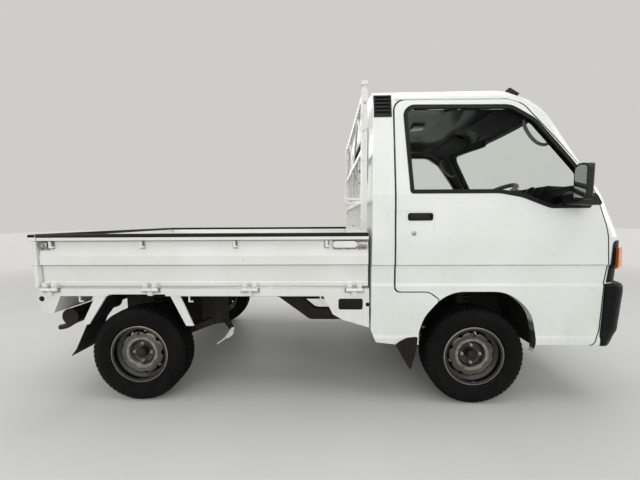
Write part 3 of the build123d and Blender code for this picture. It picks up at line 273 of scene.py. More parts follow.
def copy_of(piece, name, move=(0, 0, 0), mirror=False):
    """A copy with its own mesh, moved, or mirrored to the other side of the truck."""
    pick(piece)
    bpy.ops.object.duplicate()
    made = bpy.context.object
    made.location = move
    if mirror:
        made.scale = (1, -1, 1)
    settle(made, name)
    return face_outwards(made) if mirror else made


# %% [markdown]
# ## Shared effects for the finishes
# Real surfaces are never one flat colour. Four small groups do most of the work here: a soft cloudy change
# of colour, dust that gathers low down, small rust spots, and a fine grain that bends the light. Three more
# paint light and shade into the colour: dark lines of shade in creases, shade and dirt behind fittings, and
# the shade and highlight bands of a wheel. Each is built once and set up in every finish with its own
# numbers.


# %% Nodes, values and groups
def feed(tree, node, inputs):
    """Set a node's inputs to values, or link them to sockets."""
    for key, value in inputs.items():
        if isinstance(value, bpy.types.NodeSocket):
            tree.links.new(value, node.inputs[key])
        else:
            node.inputs[key].default_value = value


def add(tree, kind, inputs, **settings):
    """A node with its settings and inputs."""
    made = tree.nodes.new("ShaderNode" + kind)
    for key, value in settings.items():
        setattr(made, key, value)
    feed(tree, made, inputs)
    return made.outputs


def use(tree, group, inputs):
    """A group placed in a material."""
    return add(tree, "Group", inputs, node_tree=group)


# %% Arithmetic on values
def maths(tree, operation, first, second=0.0, clamp=False):
    """One arithmetic step."""
    return add(tree, "Math", {0: first, 1: second}, operation=operation, use_clamp=clamp)[0]


def times(tree, first, second, clamp=False):
    """One value times another."""
    return maths(tree, "MULTIPLY", first, second, clamp)


def less(tree, first, second, clamp=False):
    """One value less another."""
    return maths(tree, "SUBTRACT", first, second, clamp)


def most(tree, first, second):
    """The larger of two values."""
    return maths(tree, "MAXIMUM", first, second)


def unsigned(tree, value):
    """A value without its sign."""
    return maths(tree, "ABSOLUTE", value)


def vector(tree, operation, first, second=(0, 0, 0)):
    """One step with vectors, which gives a vector and a value."""
    return add(tree, "VectorMath", {0: first, 1: second}, operation=operation)


def split(tree, place):
    """X, Y and Z of a vector."""
    return add(tree, "SeparateXYZ", {0: place})[:3]


# %% Colours, noise and waves
def blend_colours(tree, share, first, second):
    """One colour laid over another by a mask."""
    return add(tree, "Mix", {0: share, 6: first, 7: second}, data_type="RGBA")[2]


def fade(tree, value, low, high, to_low=0.0, to_high=1.0):
    """A value brought from one range to another and held inside it."""
    return add(tree, "MapRange", {0: value, 1: low, 2: high, 3: to_low, 4: to_high}, clamp=True)[0]


def noise(tree, place, scale, detail=3.0, rough=0.55):
    """Soft noise at a place."""
    return add(tree, "TexNoise", {"Vector": place, "Scale": scale, "Detail": detail, "Roughness": rough})[0]


def waves(tree, place, scale, direction, wobble=0.0):
    """Even waves across a direction."""
    inputs = {"Vector": place, "Scale": scale, "Distortion": wobble}
    return add(tree, "TexWave", inputs, bands_direction=direction)[1]


def bump(tree, strength, distance, height):
    """A surface tilted by a height."""
    return add(tree, "Bump", {"Strength": strength, "Distance": distance, "Height": height})[0]


def own_place(tree, output="Object"):
    """The object's own coordinates, or the direction that its faces look."""
    return add(tree, "TexCoord", {})[output]


# %% Groups
def new_group(name, inputs, outputs=(("Mask", "Float"),)):
    """An empty group that is given a place and more, and gives one mask unless told otherwise."""
    group = bpy.data.node_groups.new(name, "ShaderNodeTree")
    for label, kind, value in [("Place", "Vector", (0, 0, 0))] + inputs:
        socket = group.interface.new_socket(name=label, in_out="INPUT", socket_type="NodeSocket" + kind)
        socket.default_value = value
    for label, kind in outputs:
        group.interface.new_socket(name=label, in_out="OUTPUT", socket_type="NodeSocket" + kind)
    return group, group.nodes.new("NodeGroupInput").outputs, group.nodes.new("NodeGroupOutput").inputs


def send(group, out, *results):
    """Link results to a group's outputs in their order."""
    for number, result in enumerate(results):
        group.links.new(result, out[number])
    return group


# %% Clouds and dust
def build_clouds():
    """Colour that drifts a little over the surface."""
    white = (1, 1, 1, 1)
    group, given, out = new_group(
        "Cloudy colour", [("Colour", "Color", white), ("Other", "Color", white), ("Scale", "Float", 4.0)],
        [("Colour", "Color")])
    mask = fade(group, noise(group, given["Place"], given["Scale"], 4.0), 0.42, 0.66)
    return send(group, out, blend_colours(group, mask, given["Colour"], given["Other"]))


def build_dust():
    """Road dust: strong at the bottom, gone above a level, broken by noise and long streaks."""
    group, given, out = new_group("Road dust", [("Top", "Float", 0.7), ("Amount", "Float", 0.5)])
    place = given["Place"]
    low = fade(group, maths(group, "DIVIDE", split(group, place)[2], given["Top"]), 0.2, 1.0, 1.0, 0.0)
    streaks = add(group, "Mapping", {0: place, 3: (14, 14, 1.2)})[0]
    broken = times(group, noise(group, place, 9.0, 5.0, 0.7), noise(group, streaks, 3.0, 3.0))
    mask = times(group, low, fade(group, broken, 0.12, 0.42))
    return send(group, out, times(group, mask, given["Amount"], True))


# %% Rust and grain
def build_rust():
    """Small spots where paint has lifted."""
    group, given, out = new_group("Rust spots", [("Scale", "Float", 30.0), ("Amount", "Float", 0.3)])
    spots = noise(group, given["Place"], given["Scale"], 6.0, 0.75)
    patches = noise(group, given["Place"], 2.7, 2.0)
    edge = less(group, 0.98, times(group, given["Amount"], 0.36))
    raised = maths(group, "ADD", spots, times(group, patches, 0.35))
    return send(group, out, fade(group, less(group, raised, edge), 0.0, 0.03))


def build_grain():
    """A fine grain that tilts the surface: moulded plastic, orange peel in paint, cast skin."""
    group, given, out = new_group(
        "Fine grain", [("Scale", "Float", 600.0), ("Depth", "Float", 0.1)], [("Normal", "Vector")])
    grain = noise(group, given["Place"], given["Scale"], 2.0, 0.6)
    return send(group, out, bump(group, given["Depth"], 0.001, grain))


# %% Painted shade in creases, shade and dirt behind fittings
# The outer faces of the sides lie past the second of these distances from the middle
SIDE_FACES = (0.655, 0.658)
TAIL_FACES = (-1.612, -1.615)
HINGES_X = [-1.546, -0.978, -0.425, 0.145]
HOOKS_X = [-1.526, -1.017, -0.503, -0.004]
# middle along the truck, half length, low edge, high edge of each patch of painted shade and dirt on a gate
# or sill
PATCHES = [(x, 0.009, 0.882, 0.922) for x in HOOKS_X] + [(x, 0.048, 0.637, 0.664) for x in HINGES_X] + [
    (0.096, 0.064, 0.874, 0.919), (0.19, 0.022, 0.872, 0.92), (-1.566, 0.026, 0.874, 0.92)]
PATCH_EDGE = 0.008
# Patches lie on the faces behind the fittings, not on the fittings themselves
PATCH_FACES = (0.683, 0.681)


def build_crease_shade_lines():
    """A thin line of painted shade at one height, on the outer faces only, broken by noise."""
    group, given, out = new_group("Crease shade", [("Level", "Float", 0.8), ("Spread", "Float", 0.004)])
    x, y, z = split(group, given["Place"])
    off = unsigned(group, less(group, z, given["Level"]))
    line = less(group, 1.0, maths(group, "DIVIDE", off, given["Spread"]), True)
    outside = most(group, fade(group, unsigned(group, y), *SIDE_FACES), fade(group, x, *TAIL_FACES))
    broken = fade(group, noise(group, given["Place"], 14.0, 3.0), 0.25, 0.6, 0.35, 1.0)
    return send(group, out, times(group, times(group, line, broken), outside))


def build_shade_and_dirt_patches():
    """Painted shade and dirt behind hooks, latches and hinges."""
    group, given, out = new_group("Shade and dirt behind fittings", [])
    x, y, z = split(group, given["Place"])
    total = 0.0
    for middle, half, low, high in PATCHES:
        along = fade(group, unsigned(group, less(group, x, middle)), half + PATCH_EDGE, half)
        up = times(group, fade(group, z, low - PATCH_EDGE, low), fade(group, z, high + PATCH_EDGE, high))
        total = most(group, times(group, along, up), total)
    side = unsigned(group, y)
    on_face = times(group, fade(group, side, *PATCH_FACES), fade(group, side, *SIDE_FACES))
    broken = fade(group, noise(group, given["Place"], 40.0, 3.0), 0.2, 0.6, 0.5, 1.0)
    return send(group, out, times(group, times(group, total, broken), on_face))


# %% Bands of a wheel
DISC_HOLES = 9


def build_wheel_bands():
    """Two masks by the distance from a wheel's axle: painted shade in the barrel, the hub and its recess, and
    painted highlights on the flange, the raised ring and the lobes of the edge.
    """
    group, given, out = new_group(
        "Wheel bands", [("Centre", "Vector", (0, 0, 0))], [("Painted shade", "Float"), ("Painted highlight", "Float")])
    away = vector(group, "SUBTRACT", given["Place"], given["Centre"])[0]
    flat = vector(group, "MULTIPLY", away, (1, 0, 1))[0]
    reach = vector(group, "LENGTH", flat)[1]
    x, _, z = split(group, flat)
    angle = times(group, maths(group, "ARCTAN2", z, x), DISC_HOLES)
    edge = less(group, 0.118, times(group, maths(group, "COSINE", angle), 0.0055))
    past = less(group, reach, edge)
    # Painted shade: the barrel past the disc's edge, the hub and the recess round it
    barrel = times(group, fade(group, past, -0.0008, 0.0008), fade(group, reach, 0.1575, 0.156))
    hub = fade(group, reach, 0.034, 0.03)
    recess = fade(group, reach, 0.068, 0.056, 0.0, 0.7)
    wheel_shade = most(group, barrel, most(group, hub, recess))
    # Painted highlights: the raised ring and the lobes of the edge, and the flange below
    ring = times(group, fade(group, reach, 0.074, 0.08), fade(group, reach, 0.096, 0.086))
    lobes = times(group, fade(group, past, -0.007, -0.002), fade(group, past, 0.0, -0.001, 0.0, 0.5))
    wear_and_highlight = times(group, most(group, ring, lobes), fade(group, noise(group, away, 26.0, 4.0), 0.3, 0.6))
    return send(group, out, wheel_shade, most(group, fade(group, reach, 0.16, 0.162, 0.0, 0.8), wear_and_highlight))

# %% Make each effect once
CLOUDS = build_clouds()
DUST = build_dust()
CREASE_SHADE_LINES = build_crease_shade_lines()
FITTING_SHADE_AND_DIRT = build_shade_and_dirt_patches()
WHEEL_BANDS = build_wheel_bands()
RUST = build_rust()
GRAIN = build_grain()
print(len(bpy.data.node_groups), "shared effects")

# %% [markdown]
# ## The table of finishes
# A truck has few materials, used again and again. Each row gives a finish its two colours, gloss, grain,
# dust and rust. Dust is brownish grey and lies below the level in its column.

# %% Finishes
DUST_COLOUR = (0.14, 0.125, 0.105, 1)
RUST_COLOUR = (0.12, 0.035, 0.012, 1)
# name, colour, second colour, roughness, metallic, coat, grain scale, grain depth, top of the dust, dust,
# rust, shine
FINISHES = [
    ("body_paint", (0.72, 0.73, 0.69), (0.76, 0.765, 0.73), 0.32, 0, 0.5, 320, 0.03, 0.62, 0.3, 0.0, 0.5),
    ("bed_paint", (0.71, 0.715, 0.67), (0.77, 0.77, 0.74), 0.4, 0, 0.25, 260, 0.06, 0.75, 0.35, 0.28, 0.5),
    ("guard_paint", (0.74, 0.74, 0.71), (0.68, 0.68, 0.63), 0.42, 0, 0.2, 300, 0.08, 0.2, 0.0, 0.55, 0.5),
    ("chassis_paint", (0.006, 0.006, 0.006), (0.014, 0.012, 0.01),
     0.62, 0, 0, 120, 0.35, 0.9, 0.2, 0.5, 0.2),
    ("floor_paint", (0.008, 0.008, 0.008), (0.014, 0.013, 0.012),
     0.8, 0, 0, 180, 0.5, 0.7, 0.15, 0.0, 0.15),
    ("bumper_plastic", (0.004, 0.0042, 0.005), (0.007, 0.0072, 0.0085),
     0.34, 0, 0, 900, 0.25, 0.5, 0.05, 0.0, 0.08),
    ("trim_plastic", (0.004, 0.004, 0.0045), (0.008, 0.008, 0.009),
     0.45, 0, 0, 900, 0.3, 0.3, 0.1, 0.0, 0.25),
    ("interior_plastic", (0.014, 0.014, 0.016), (0.022, 0.022, 0.024),
     0.6, 0, 0, 700, 0.5, 0.3, 0.0, 0.0, 0.25),
    ("wheel_plastic", (0.24, 0.22, 0.17), (0.28, 0.26, 0.21), 0.5, 0, 0, 800, 0.3, 0.3, 0.0, 0.0, 0.4),
    ("seal_rubber", (0.003, 0.003, 0.003), (0.007, 0.007, 0.007),
     0.55, 0, 0, 500, 0.25, 0.6, 0.08, 0.0, 0.2),
    ("flap_rubber", (0.004, 0.004, 0.004), (0.01, 0.009, 0.008), 0.7, 0, 0, 300, 0.4, 0.6, 0.2, 0.0, 0.15),
    ("tyre_rubber", (0.0035, 0.0035, 0.0038), (0.006, 0.006, 0.006),
     0.7, 0, 0, 500, 0.35, 0.62, 0.04, 0.0, 0.06),
    ("wheel_steel", (0.085, 0.075, 0.062), (0.165, 0.148, 0.125),
     0.25, 0.9, 0, 260, 0.25, 0.45, 0.2, 0.3, 0.5),
    ("cast_parts", (0.012, 0.011, 0.01), (0.03, 0.027, 0.024), 0.7, 0.2, 0, 90, 0.8, 0.8, 0.2, 0.35, 0.2),
    ("muffler_steel", (0.014, 0.013, 0.012), (0.032, 0.025, 0.02),
     0.55, 0.4, 0, 150, 0.5, 0.9, 0.1, 0.5, 0.2),
    ("bright_steel", (0.42, 0.41, 0.39), (0.3, 0.29, 0.27), 0.3, 1, 0, 300, 0.2, 0.4, 0.2, 0.15, 0.5),
]
# level, spread and amount of the lines of painted shade on a finish
CREASES = {
    "bed_paint": [(0.9215, 0.005, 0.55), (0.786, 0.0036, 0.6), (0.664, 0.0045, 0.45)],
    "body_paint": [(0.7855, 0.0042, 0.85)],
}
CREASE_SHADE_COLOUR = (0.1, 0.095, 0.085, 1)
PATCH_SHADE_AND_DIRT_COLOUR = (0.06, 0.054, 0.045, 1)
UNDERSIDE_COLOUR = (0.16, 0.15, 0.13, 1)
print(len(FINISHES), "rows")


# %% A finish from a row of the table
def new_material(name):
    """An empty material, its tree and its shader."""
    material = bpy.data.materials.new(name)
    material.use_nodes = True
    return material, material.node_tree, material.node_tree.nodes["Principled BSDF"]


def finish_from(name, row):
    """A material filled from a row of the table, with what the next steps may change."""
    kind, colour, other, rough, metal, coat, scale, depth, dust_top, dust, rust, shine = row
    material, tree, shader = new_material(name)
    place = own_place(tree)
    shade = use(tree, CLOUDS, {"Place": place, "Colour": (*colour, 1), "Other": (*other, 1)})["Colour"]
    dirt = use(tree, DUST, {"Place": place, "Top": dust_top, "Amount": dust})["Mask"]
    shade = blend_colours(tree, dirt, shade, DUST_COLOUR)
    # Dark lines under the lip, at the creases and at the gate's foot are painted shade
    for level, spread, amount in CREASES.get(kind, []):
        line = use(tree, CREASE_SHADE_LINES, {"Place": place, "Level": level, "Spread": spread})["Mask"]
        shade = blend_colours(tree, times(tree, line, amount), shade, CREASE_SHADE_COLOUR)
    if kind == "bed_paint":
        # Patches behind the hooks, latches and hinges are painted shade and dirt
        patch = use(tree, FITTING_SHADE_AND_DIRT, {"Place": place})["Mask"]
        shade = blend_colours(tree, times(tree, patch, 0.85), shade, PATCH_SHADE_AND_DIRT_COLOUR)
        # Faces that look down are painted a darker grey
        below = fade(tree, split(tree, own_place(tree, "Normal"))[2], -0.6, -0.85, 0.0, 0.85)
        shade = blend_colours(tree, below, shade, UNDERSIDE_COLOUR)
    wear_and_highlight = dirt
    if rust:
        spots = use(tree, RUST, {"Place": place, "Amount": rust})["Mask"]
        shade = blend_colours(tree, spots, shade, RUST_COLOUR)
        wear_and_highlight = most(tree, dirt, spots)
    uneven = fade(tree, noise(tree, place, 18.0, 4.0), 0.3, 0.7, max(rough - 0.06, 0.04), rough + 0.08)
    feed(tree, shader, {
        "Base Color": shade,
        "Roughness": maths(tree, "ADD", uneven, times(tree, wear_and_highlight, 0.35), True),
        "Normal": use(tree, GRAIN, {"Place": place, "Scale": scale, "Depth": depth})["Normal"],
        "Specular IOR Level": shine,
        "Metallic": metal,
        "Coat Weight": coat,
        "Coat Roughness": 0.12,
    })
    return material, tree, shader, place, shade


finishes = {}
for row in FINISHES:
    finishes[row[0]] = finish_from(row[0], row)[0]
print(len(finishes), "finishes from the table")

# %% [markdown]
# ## A painted shell with a dark lining
# The cab is one pressed shell: white outside, dark fabric and plastic inside. One material does both. A
# face is inside when it looks back at the middle of the cabin, so the colour is chosen by comparing the
# face's direction with the way from the cabin's centre.

# %% Lined paint
CABIN_CENTRE = (0.8, 0.0, 1.15)


def build_lining_mask():
    """A mask that is 1 on faces that look towards the cabin's centre."""
    group, given, out = new_group("Lining mask", [("Facing", "Vector", (0, 0, 1))])
    away = vector(group, "SUBTRACT", given["Place"], CABIN_CENTRE)[0]
    look = vector(group, "DOT_PRODUCT", away, given["Facing"])[1]
    return send(group, out, fade(group, look, -0.06, -0.16))


LINING = build_lining_mask()
ROOF_LINING = (0.0035, 0.0035, 0.005, 1)
TRIM_LINING = (0.024, 0.024, 0.026, 1)
WEAVE_LINING = (0.02, 0.02, 0.02, 1)
# Below this height a door is painted on both sides
DOOR_LINED_FROM = 0.322


def lined_paint(name, lined_from):
    """Body paint outside, lining inside: nearly black under the roof, dark grey on the header and pillars."""
    material, tree, shader, place, shade = finish_from(name, FINISHES[0])
    inside = use(tree, LINING, {"Place": place, "Facing": own_place(tree, "Normal")})["Mask"]
    height = split(tree, place)[2]
    inside = times(tree, inside, fade(tree, height, lined_from - 0.005, lined_from + 0.005))
    cloth = blend_colours(tree, fade(tree, height, 1.655, 1.675), TRIM_LINING, ROOF_LINING)
    cloth = blend_colours(tree, times(tree, noise(tree, place, 240.0, 2.0), 0.2), cloth, WEAVE_LINING)
    rough = shader.inputs["Roughness"].links[0].from_socket
    feed(tree, shader, {
        "Base Color": blend_colours(tree, inside, shade, cloth),
        "Roughness": most(tree, rough, times(tree, inside, 0.85)),
    })
    return material


shell_paint = lined_paint("shell_paint", 0.0)
door_paint = lined_paint("door_paint", DOOR_LINED_FROM)
print("lined paint ready")

# %% [markdown]
# ## Glass, lenses and mirrors
# Window glass is a clear solid with a slight green. Lenses are coloured plastic with ribs, which are bands
# of bump. A mirror is a smooth metal.


# %% Clear and coloured materials
# Low, so that the windows mirror little of the lamps and the cabin shows through them
GLASS_IOR = 1.08
# distance from the middle at which a band of the tail lamp begins, at which it ends, its colour
TAIL_BANDS = [(0.52, 0.59, (0.62, 0.14, 0.01, 1)), (0.44, 0.52, (0.55, 0.56, 0.57, 1))]


def ribbed_lens(name, colour, dark, direction, pitch, rough=0.18):
    """A lens with ribs across a direction."""
    material, tree, shader = new_material(name)
    place = own_place(tree)
    ribs = waves(tree, place, 1.0 / pitch, direction)
    cells = add(tree, "TexVoronoi", {"Vector": place, "Scale": 60.0})[0]
    # The troughs of the ribs are painted darker than their crests: painted shade of the flutes
    shade = blend_colours(tree, times(tree, ribs, 0.6), (*dark, 1), (*colour, 1))
    shade = blend_colours(tree, times(tree, cells, 0.4), shade, (*colour, 1))
    feed(tree, shader, {
        "Base Color": shade,
        "Normal": bump(tree, 0.4, 0.002, ribs),
        "Roughness": rough,
        "Coat Weight": 1.0,
    })
    return material, tree, shader, place, shade

# %% Window glass and lamps
finishes["window_glass"], tree, shader = new_material("window_glass")
feed(tree, shader, {
    "Base Color": (0.93, 0.96, 0.94, 1), "Transmission Weight": 1.0, "Roughness": 0.0, "IOR": GLASS_IOR})
finishes["indicator_lens"] = ribbed_lens(
    "indicator_lens", (0.75, 0.17, 0.01), (0.35, 0.06, 0.004), "Z", 0.02)[0]
finishes["lamp_glass"], tree, shader, place, shade = ribbed_lens(
    "lamp_glass", (0.62, 0.64, 0.65), (0.3, 0.31, 0.32), "Y", 0.028, 0.12)
feed(tree, shader, {"Metallic": 0.6})
print("glass and lenses ready")

# %% Tail lamp and mirror
# The tail lamp has three bands: red outside, orange in the middle and clear near the plate
finishes["tail_lens"], tree, shader, place, shade = ribbed_lens(
    "tail_lens", (0.5, 0.01, 0.01), (0.22, 0.004, 0.004), "Y", 0.02)
across = unsigned(tree, split(tree, place)[1])
for low, high, colour in TAIL_BANDS:
    band = times(tree, maths(tree, "GREATER_THAN", across, low), maths(tree, "LESS_THAN", across, high))
    shade = blend_colours(tree, band, shade, colour)
feed(tree, shader, {"Base Color": shade})

finishes["mirror_silver"], tree, shader = new_material("mirror_silver")
feed(tree, shader, {"Metallic": 1.0, "Roughness": 0.03, "Base Color": (0.36, 0.38, 0.38, 1)})
print(len(finishes), "finishes in all")

# %% [markdown]
# ## Seat cloth
# The seats of such a truck wear a dark, hard-wearing cloth. Its weave is two crossed sets of fine waves,
# which give both the bump and a slight change of colour.


# %% Woven cloth
CLOTH_DARK = (0.022, 0.022, 0.026, 1)
CLOTH_LIGHT = (0.045, 0.045, 0.052, 1)
CLOTH_WORN = (0.0675, 0.0675, 0.078, 1)


def build_weave():
    """Crossed threads: a height for the bump and a mask for the colour."""
    group, given, out = new_group("Weave", [("Threads", "Float", 260.0)], [("Height", "Float")])
    warp = waves(group, given["Place"], given["Threads"], "Y", 0.4)
    weft = waves(group, given["Place"], given["Threads"], "DIAGONAL", 0.4)
    return send(group, out, times(group, warp, weft))


finishes["seat_cloth"], tree, shader = new_material("seat_cloth")
place = own_place(tree)
threads = use(tree, build_weave(), {"Place": place})["Height"]
shade = blend_colours(tree, threads, CLOTH_DARK, CLOTH_LIGHT)
wear_and_highlight = fade(tree, noise(tree, place, 6.0, 3.0), 0.5, 0.75, 0.0, 0.35)
feed(tree, shader, {
    "Base Color": blend_colours(tree, wear_and_highlight, shade, CLOTH_WORN),
    "Normal": bump(tree, 0.5, 0.0008, threads),
    "Roughness": 0.85,
    "Sheen Weight": 0.25,
})
print("cloth ready")

# %% [markdown]
# ## Paint the solids
# Every solid from the CAD model names a slot in the record. Here each slot gets its finish, and the cab
# shell and doors get the paint with the dark lining. The steel wheels get one finish each, because their
# bands of painted shade and painted highlight are measured from the axle.

# %% Give the solids their finishes
LINED = {"cab_shell": shell_paint, "door_right": door_paint, "door_left": door_paint}
slot_of = {part["node"]: part["material_slot"] for part in frame["record"]["subparts"]}
for name, solid in nodes.items():
    solid.data.materials.clear()
    solid.data.materials.append(LINED.get(name, finishes[slot_of[name]]))
print("painted", len(nodes), "solids")

# %% Paint the wheels
# Colours of the painted shade and the painted highlights on the wheels
WHEEL_SHADE_COLOUR = (0.004, 0.004, 0.004, 1)
HIGHLIGHT_COLOUR = (0.34, 0.325, 0.295, 1)
WHEELS = {
    place: (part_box(f"tyre_{place}")[0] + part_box(f"tyre_{place}")[1]) / 2
    for place in ("front_right", "front_left", "rear_right", "rear_left")
}
steel_row = next(row for row in FINISHES if row[0] == "wheel_steel")
for place, centre in WHEELS.items():
    look, tree, shader, spot, shade = finish_from("wheel_steel_" + place, steel_row)
    # Painted shade darkens the barrel, hub and recess and takes the metal away; painted highlights lighten
    # the flange, ring and lobes
    bands = use(tree, WHEEL_BANDS, {"Place": spot, "Centre": centre})
    shade = blend_colours(tree, bands["Painted highlight"], shade, HIGHLIGHT_COLOUR)
    feed(tree, shader, {
        "Base Color": blend_colours(tree, bands["Painted shade"], shade, WHEEL_SHADE_COLOUR),
        "Metallic": fade(tree, bands["Painted shade"], 0.0, 1.0, 0.9, 0.0),
    })
    nodes["rim_" + place].data.materials[0] = look
print("wheels at", {k: [round(v, 3) for v in c] for k, c in WHEELS.items()})


# %% [markdown]
# ## Hand a piece over
# Each piece made below gets a finish, smooth shading that keeps its sharp edges, and the body that it moves
# with. One helper does all three, so that no piece is forgotten when a door or a wheel turns.


# %% Send a finished piece to its body
def ship(piece, body, slot, finish=None, angle=35):
    """Give a piece its finish, named by its slot unless another is given, smooth shading and the body it
    moves with.
    """
    pick(piece)
    piece.data.materials.clear()
    piece.data.materials.append(finishes[finish or slot])
    bpy.ops.object.shade_smooth_by_angle(angle=math.radians(angle))
    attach(piece, body)


# %% [markdown]
# ## Tyres
# A light truck tyre has a rounded sidewall with a few raised rings, and a tread of blocks between grooves.
# The body is a profile drawn once and spun. The blocks are one small rounded block per row, repeated round
# the wheel with the spin tool.

# %% Wheel places
TYRE_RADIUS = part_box("tyre_rear_right")[1].z - WHEELS["rear_right"].z
TREAD_DEPTH = 0.008
TREAD_PITCHES = 58
BLOCK_SHARE = 0.41
TYRE_STEPS = 96
print("tyre radius", round(TYRE_RADIUS, 3))

# %% Tyre body and tread
# radius, distance from the middle plane: the outer half of the section, mirrored below
TYRE_HALF = [
    (0.1545, 0.05), (0.168, 0.0502), (0.1705, 0.0595), (0.176, 0.0625), (0.178, 0.0655), (0.184, 0.0668),
    (0.186, 0.069), (0.188, 0.069), (0.19, 0.068), (0.205, 0.0715), (0.218, 0.072), (0.22, 0.073),
    (0.2225, 0.073), (0.2245, 0.0715), (0.238, 0.0695), (0.248, 0.0655), (0.256, 0.06), (0.261, 0.054),
    (0.262, 0.04), (0.263, 0.015),
]
# distance from the middle plane, block width, drop from the crown, share of a pitch it is turned by
TREAD_ROWS = [
    (-0.0455, 0.019, 0.0022, 0.0), (-0.016, 0.026, 0.0004, 0.5), (0.016, 0.026, 0.0004, 0.0),
    (0.0455, 0.019, 0.0022, 0.5),
]


def build_tyre(name, centre):
    """One tyre: a spun body with rows of blocks around it."""
    section = TYRE_HALF + [(r, -y) for r, y in reversed(TYRE_HALF)]
    body = turned(name + "_body", section, centre, (0, 1, 0), TYRE_STEPS)
    pitch = math.tau * TYRE_RADIUS / TREAD_PITCHES
    pieces = [body]
    for number, (y, width, drop, shift) in enumerate(TREAD_ROWS):
        top = TYRE_RADIUS - drop
        half = pitch * BLOCK_SHARE
        block = slab(f"{name}_row{number}", (-half, y - width / 2, top - TREAD_DEPTH - 0.003),
                     (half, y + width / 2, top), 0.0014, 1)
        turn_and_move(block, math.tau * shift / TREAD_PITCHES, centre)
        pieces.append(ring_of(block, centre, (0, 1, 0), TREAD_PITCHES))
    return join(name, pieces)


first_tyre = build_tyre("tyre_tread_front_right", WHEELS["front_right"])
for place, centre in WHEELS.items():
    piece = first_tyre
    if place != "front_right":
        piece = copy_of(first_tyre, f"tyre_tread_{place}", centre - WHEELS["front_right"])
    ship(piece, f"wheel_{place}", "tyre_rubber")
    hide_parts(f"tyre_{place}")
print("tyre faces", len(first_tyre.data.polygons))

# %% [markdown]
# ## Wheel hardware
# Four nuts hold each wheel, round a dark hub with a pressed cap, and a rubber valve stands near the rim. One
# nut on its stud is made and repeated round the axle, so that all of them sit on one circle.


# %% Nuts, cap and valve
NUT_CIRCLE = 0.05
NUTS = 4


def build_wheel_hardware(name, centre, side):
    """Nuts, hub cap, valve and a balance weight for the outer face of one wheel."""
    out = Vector((0, side, 0))
    face = centre + out * 0.01
    seat = face + Vector((NUT_CIRCLE, 0, 0))
    nut = join(name + "_nuts", [
        bar(name + "_nut", seat - out * 0.002, seat + out * 0.014, 0.0098, 6, rounding=0.001),
        bar(name + "_stud", seat + out * 0.01, seat + out * 0.02, 0.0055, 12, rounding=0.001),
        bar(name + "_cone", seat - out * 0.003, seat + out * 0.003, 0.0125, 24, 0.0095),
    ])
    ring_of(nut, centre, (0, 1, 0), NUTS)
    cap = turned(name + "_cap", [(0.001, 0.0), (0.024, 0.0), (0.029, 0.012), (0.026, 0.03), (0.02, 0.034),
                                 (0.012, 0.038), (0.001, 0.04)], face + out * 0.002, out, 40)
    valve_at = centre + Vector((0.0, 0, 0.135)) + out * 0.03
    bend = valve_at + out * 0.02 - Vector((0, 0, 0.012))
    valve_end = valve_at + out * 0.031 - Vector((0, 0, 0.018))
    valve = join(name + "_valve", [
        bar(name + "_stem", valve_at, bend, 0.0045, 14, 0.0035),
        bar(name + "_dust_cap", bend, valve_end, 0.0048, 14, rounding=0.001),
    ])
    weight = slab(name + "_weight", (-0.022, 0, -0.004), (0.022, 0.004, 0.004), 0.0015)
    pick(weight)
    weight.location = centre + Vector((0.02, side * 0.052, -0.151))
    settle(weight, name + "_weight")
    return nut, cap, valve, weight


# %% [markdown]
# ## Scalloped edge of the disc
# A pressed steel wheel has a disc with a folded edge that dips at each of its nine holes. A flat ring with
# bites cut out would look like sheet. So a section is spun into a ring, and its outer points are drawn in
# where the holes are, which keeps the fold round all the way.

# %% Scalloped edge of the wheel's disc
# radius, distance outwards from the wheel's middle plane
EDGE_ROWS = [(0.098, 0.0335), (0.106, 0.0352), (0.113, 0.0356), (0.12, 0.0346), (0.1238, 0.0322),
             (0.1242, 0.0302), (0.1215, 0.029), (0.112, 0.0315), (0.098, 0.031)]
NOTCH_FROM = 0.106
NOTCH_SHARE = 0.5
# A higher power makes the notches narrower
NOTCH_POWER = 1.3
STEPS_PER_HOLE = 14


def disc_edge(name, centre, side):
    """The raised edge of the disc, drawn in to a notch at each of its holes."""
    edge = turned(name, EDGE_ROWS, centre, (0, side, 0), DISC_HOLES * STEPS_PER_HOLE)
    for vertex in edge.data.vertices:
        away = vertex.co - centre
        reach = math.hypot(away.x, away.z)
        if reach > NOTCH_FROM:
            angle = math.atan2(away.z, away.x) * DISC_HOLES
            share = 1 - NOTCH_SHARE * max(0.0, math.cos(angle)) ** NOTCH_POWER
            kept = (NOTCH_FROM + (reach - NOTCH_FROM) * share) / reach
            vertex.co = centre + Vector((away.x * kept, away.y, away.z * kept))
    return edge


for place, centre in WHEELS.items():
    side = -1 if "right" in place else 1
    ship(disc_edge("disc_edge_" + place, centre, side), f"wheel_{place}", "wheel_steel")
    nut, cap, valve, weight = build_wheel_hardware("hub_" + place, centre, side)
    ship(nut, f"wheel_{place}", "wheel_steel", "bright_steel")
    ship(cap, f"wheel_{place}", "cast_parts")
    ship(valve, f"wheel_{place}", "seal_rubber")
    ship(weight, f"wheel_{place}", "wheel_steel", "bright_steel")
print("edges and hardware on", len(WHEELS), "wheels")

# %% [markdown]
# ## Seats
# Each seat is a bench cushion and a tall back. The CAD solid is a block, so the cloth piece starts a little
# smaller than it and is blown up with a cloth simulation: pressure pushes the sides out, and the movement
# is held to about a centimetre.

# %% Seat shapes
SEAT_SIDES = {"driver": -1, "passenger": 1}
SEAT_INNER = 0.124
SEAT_OUTER = 0.556
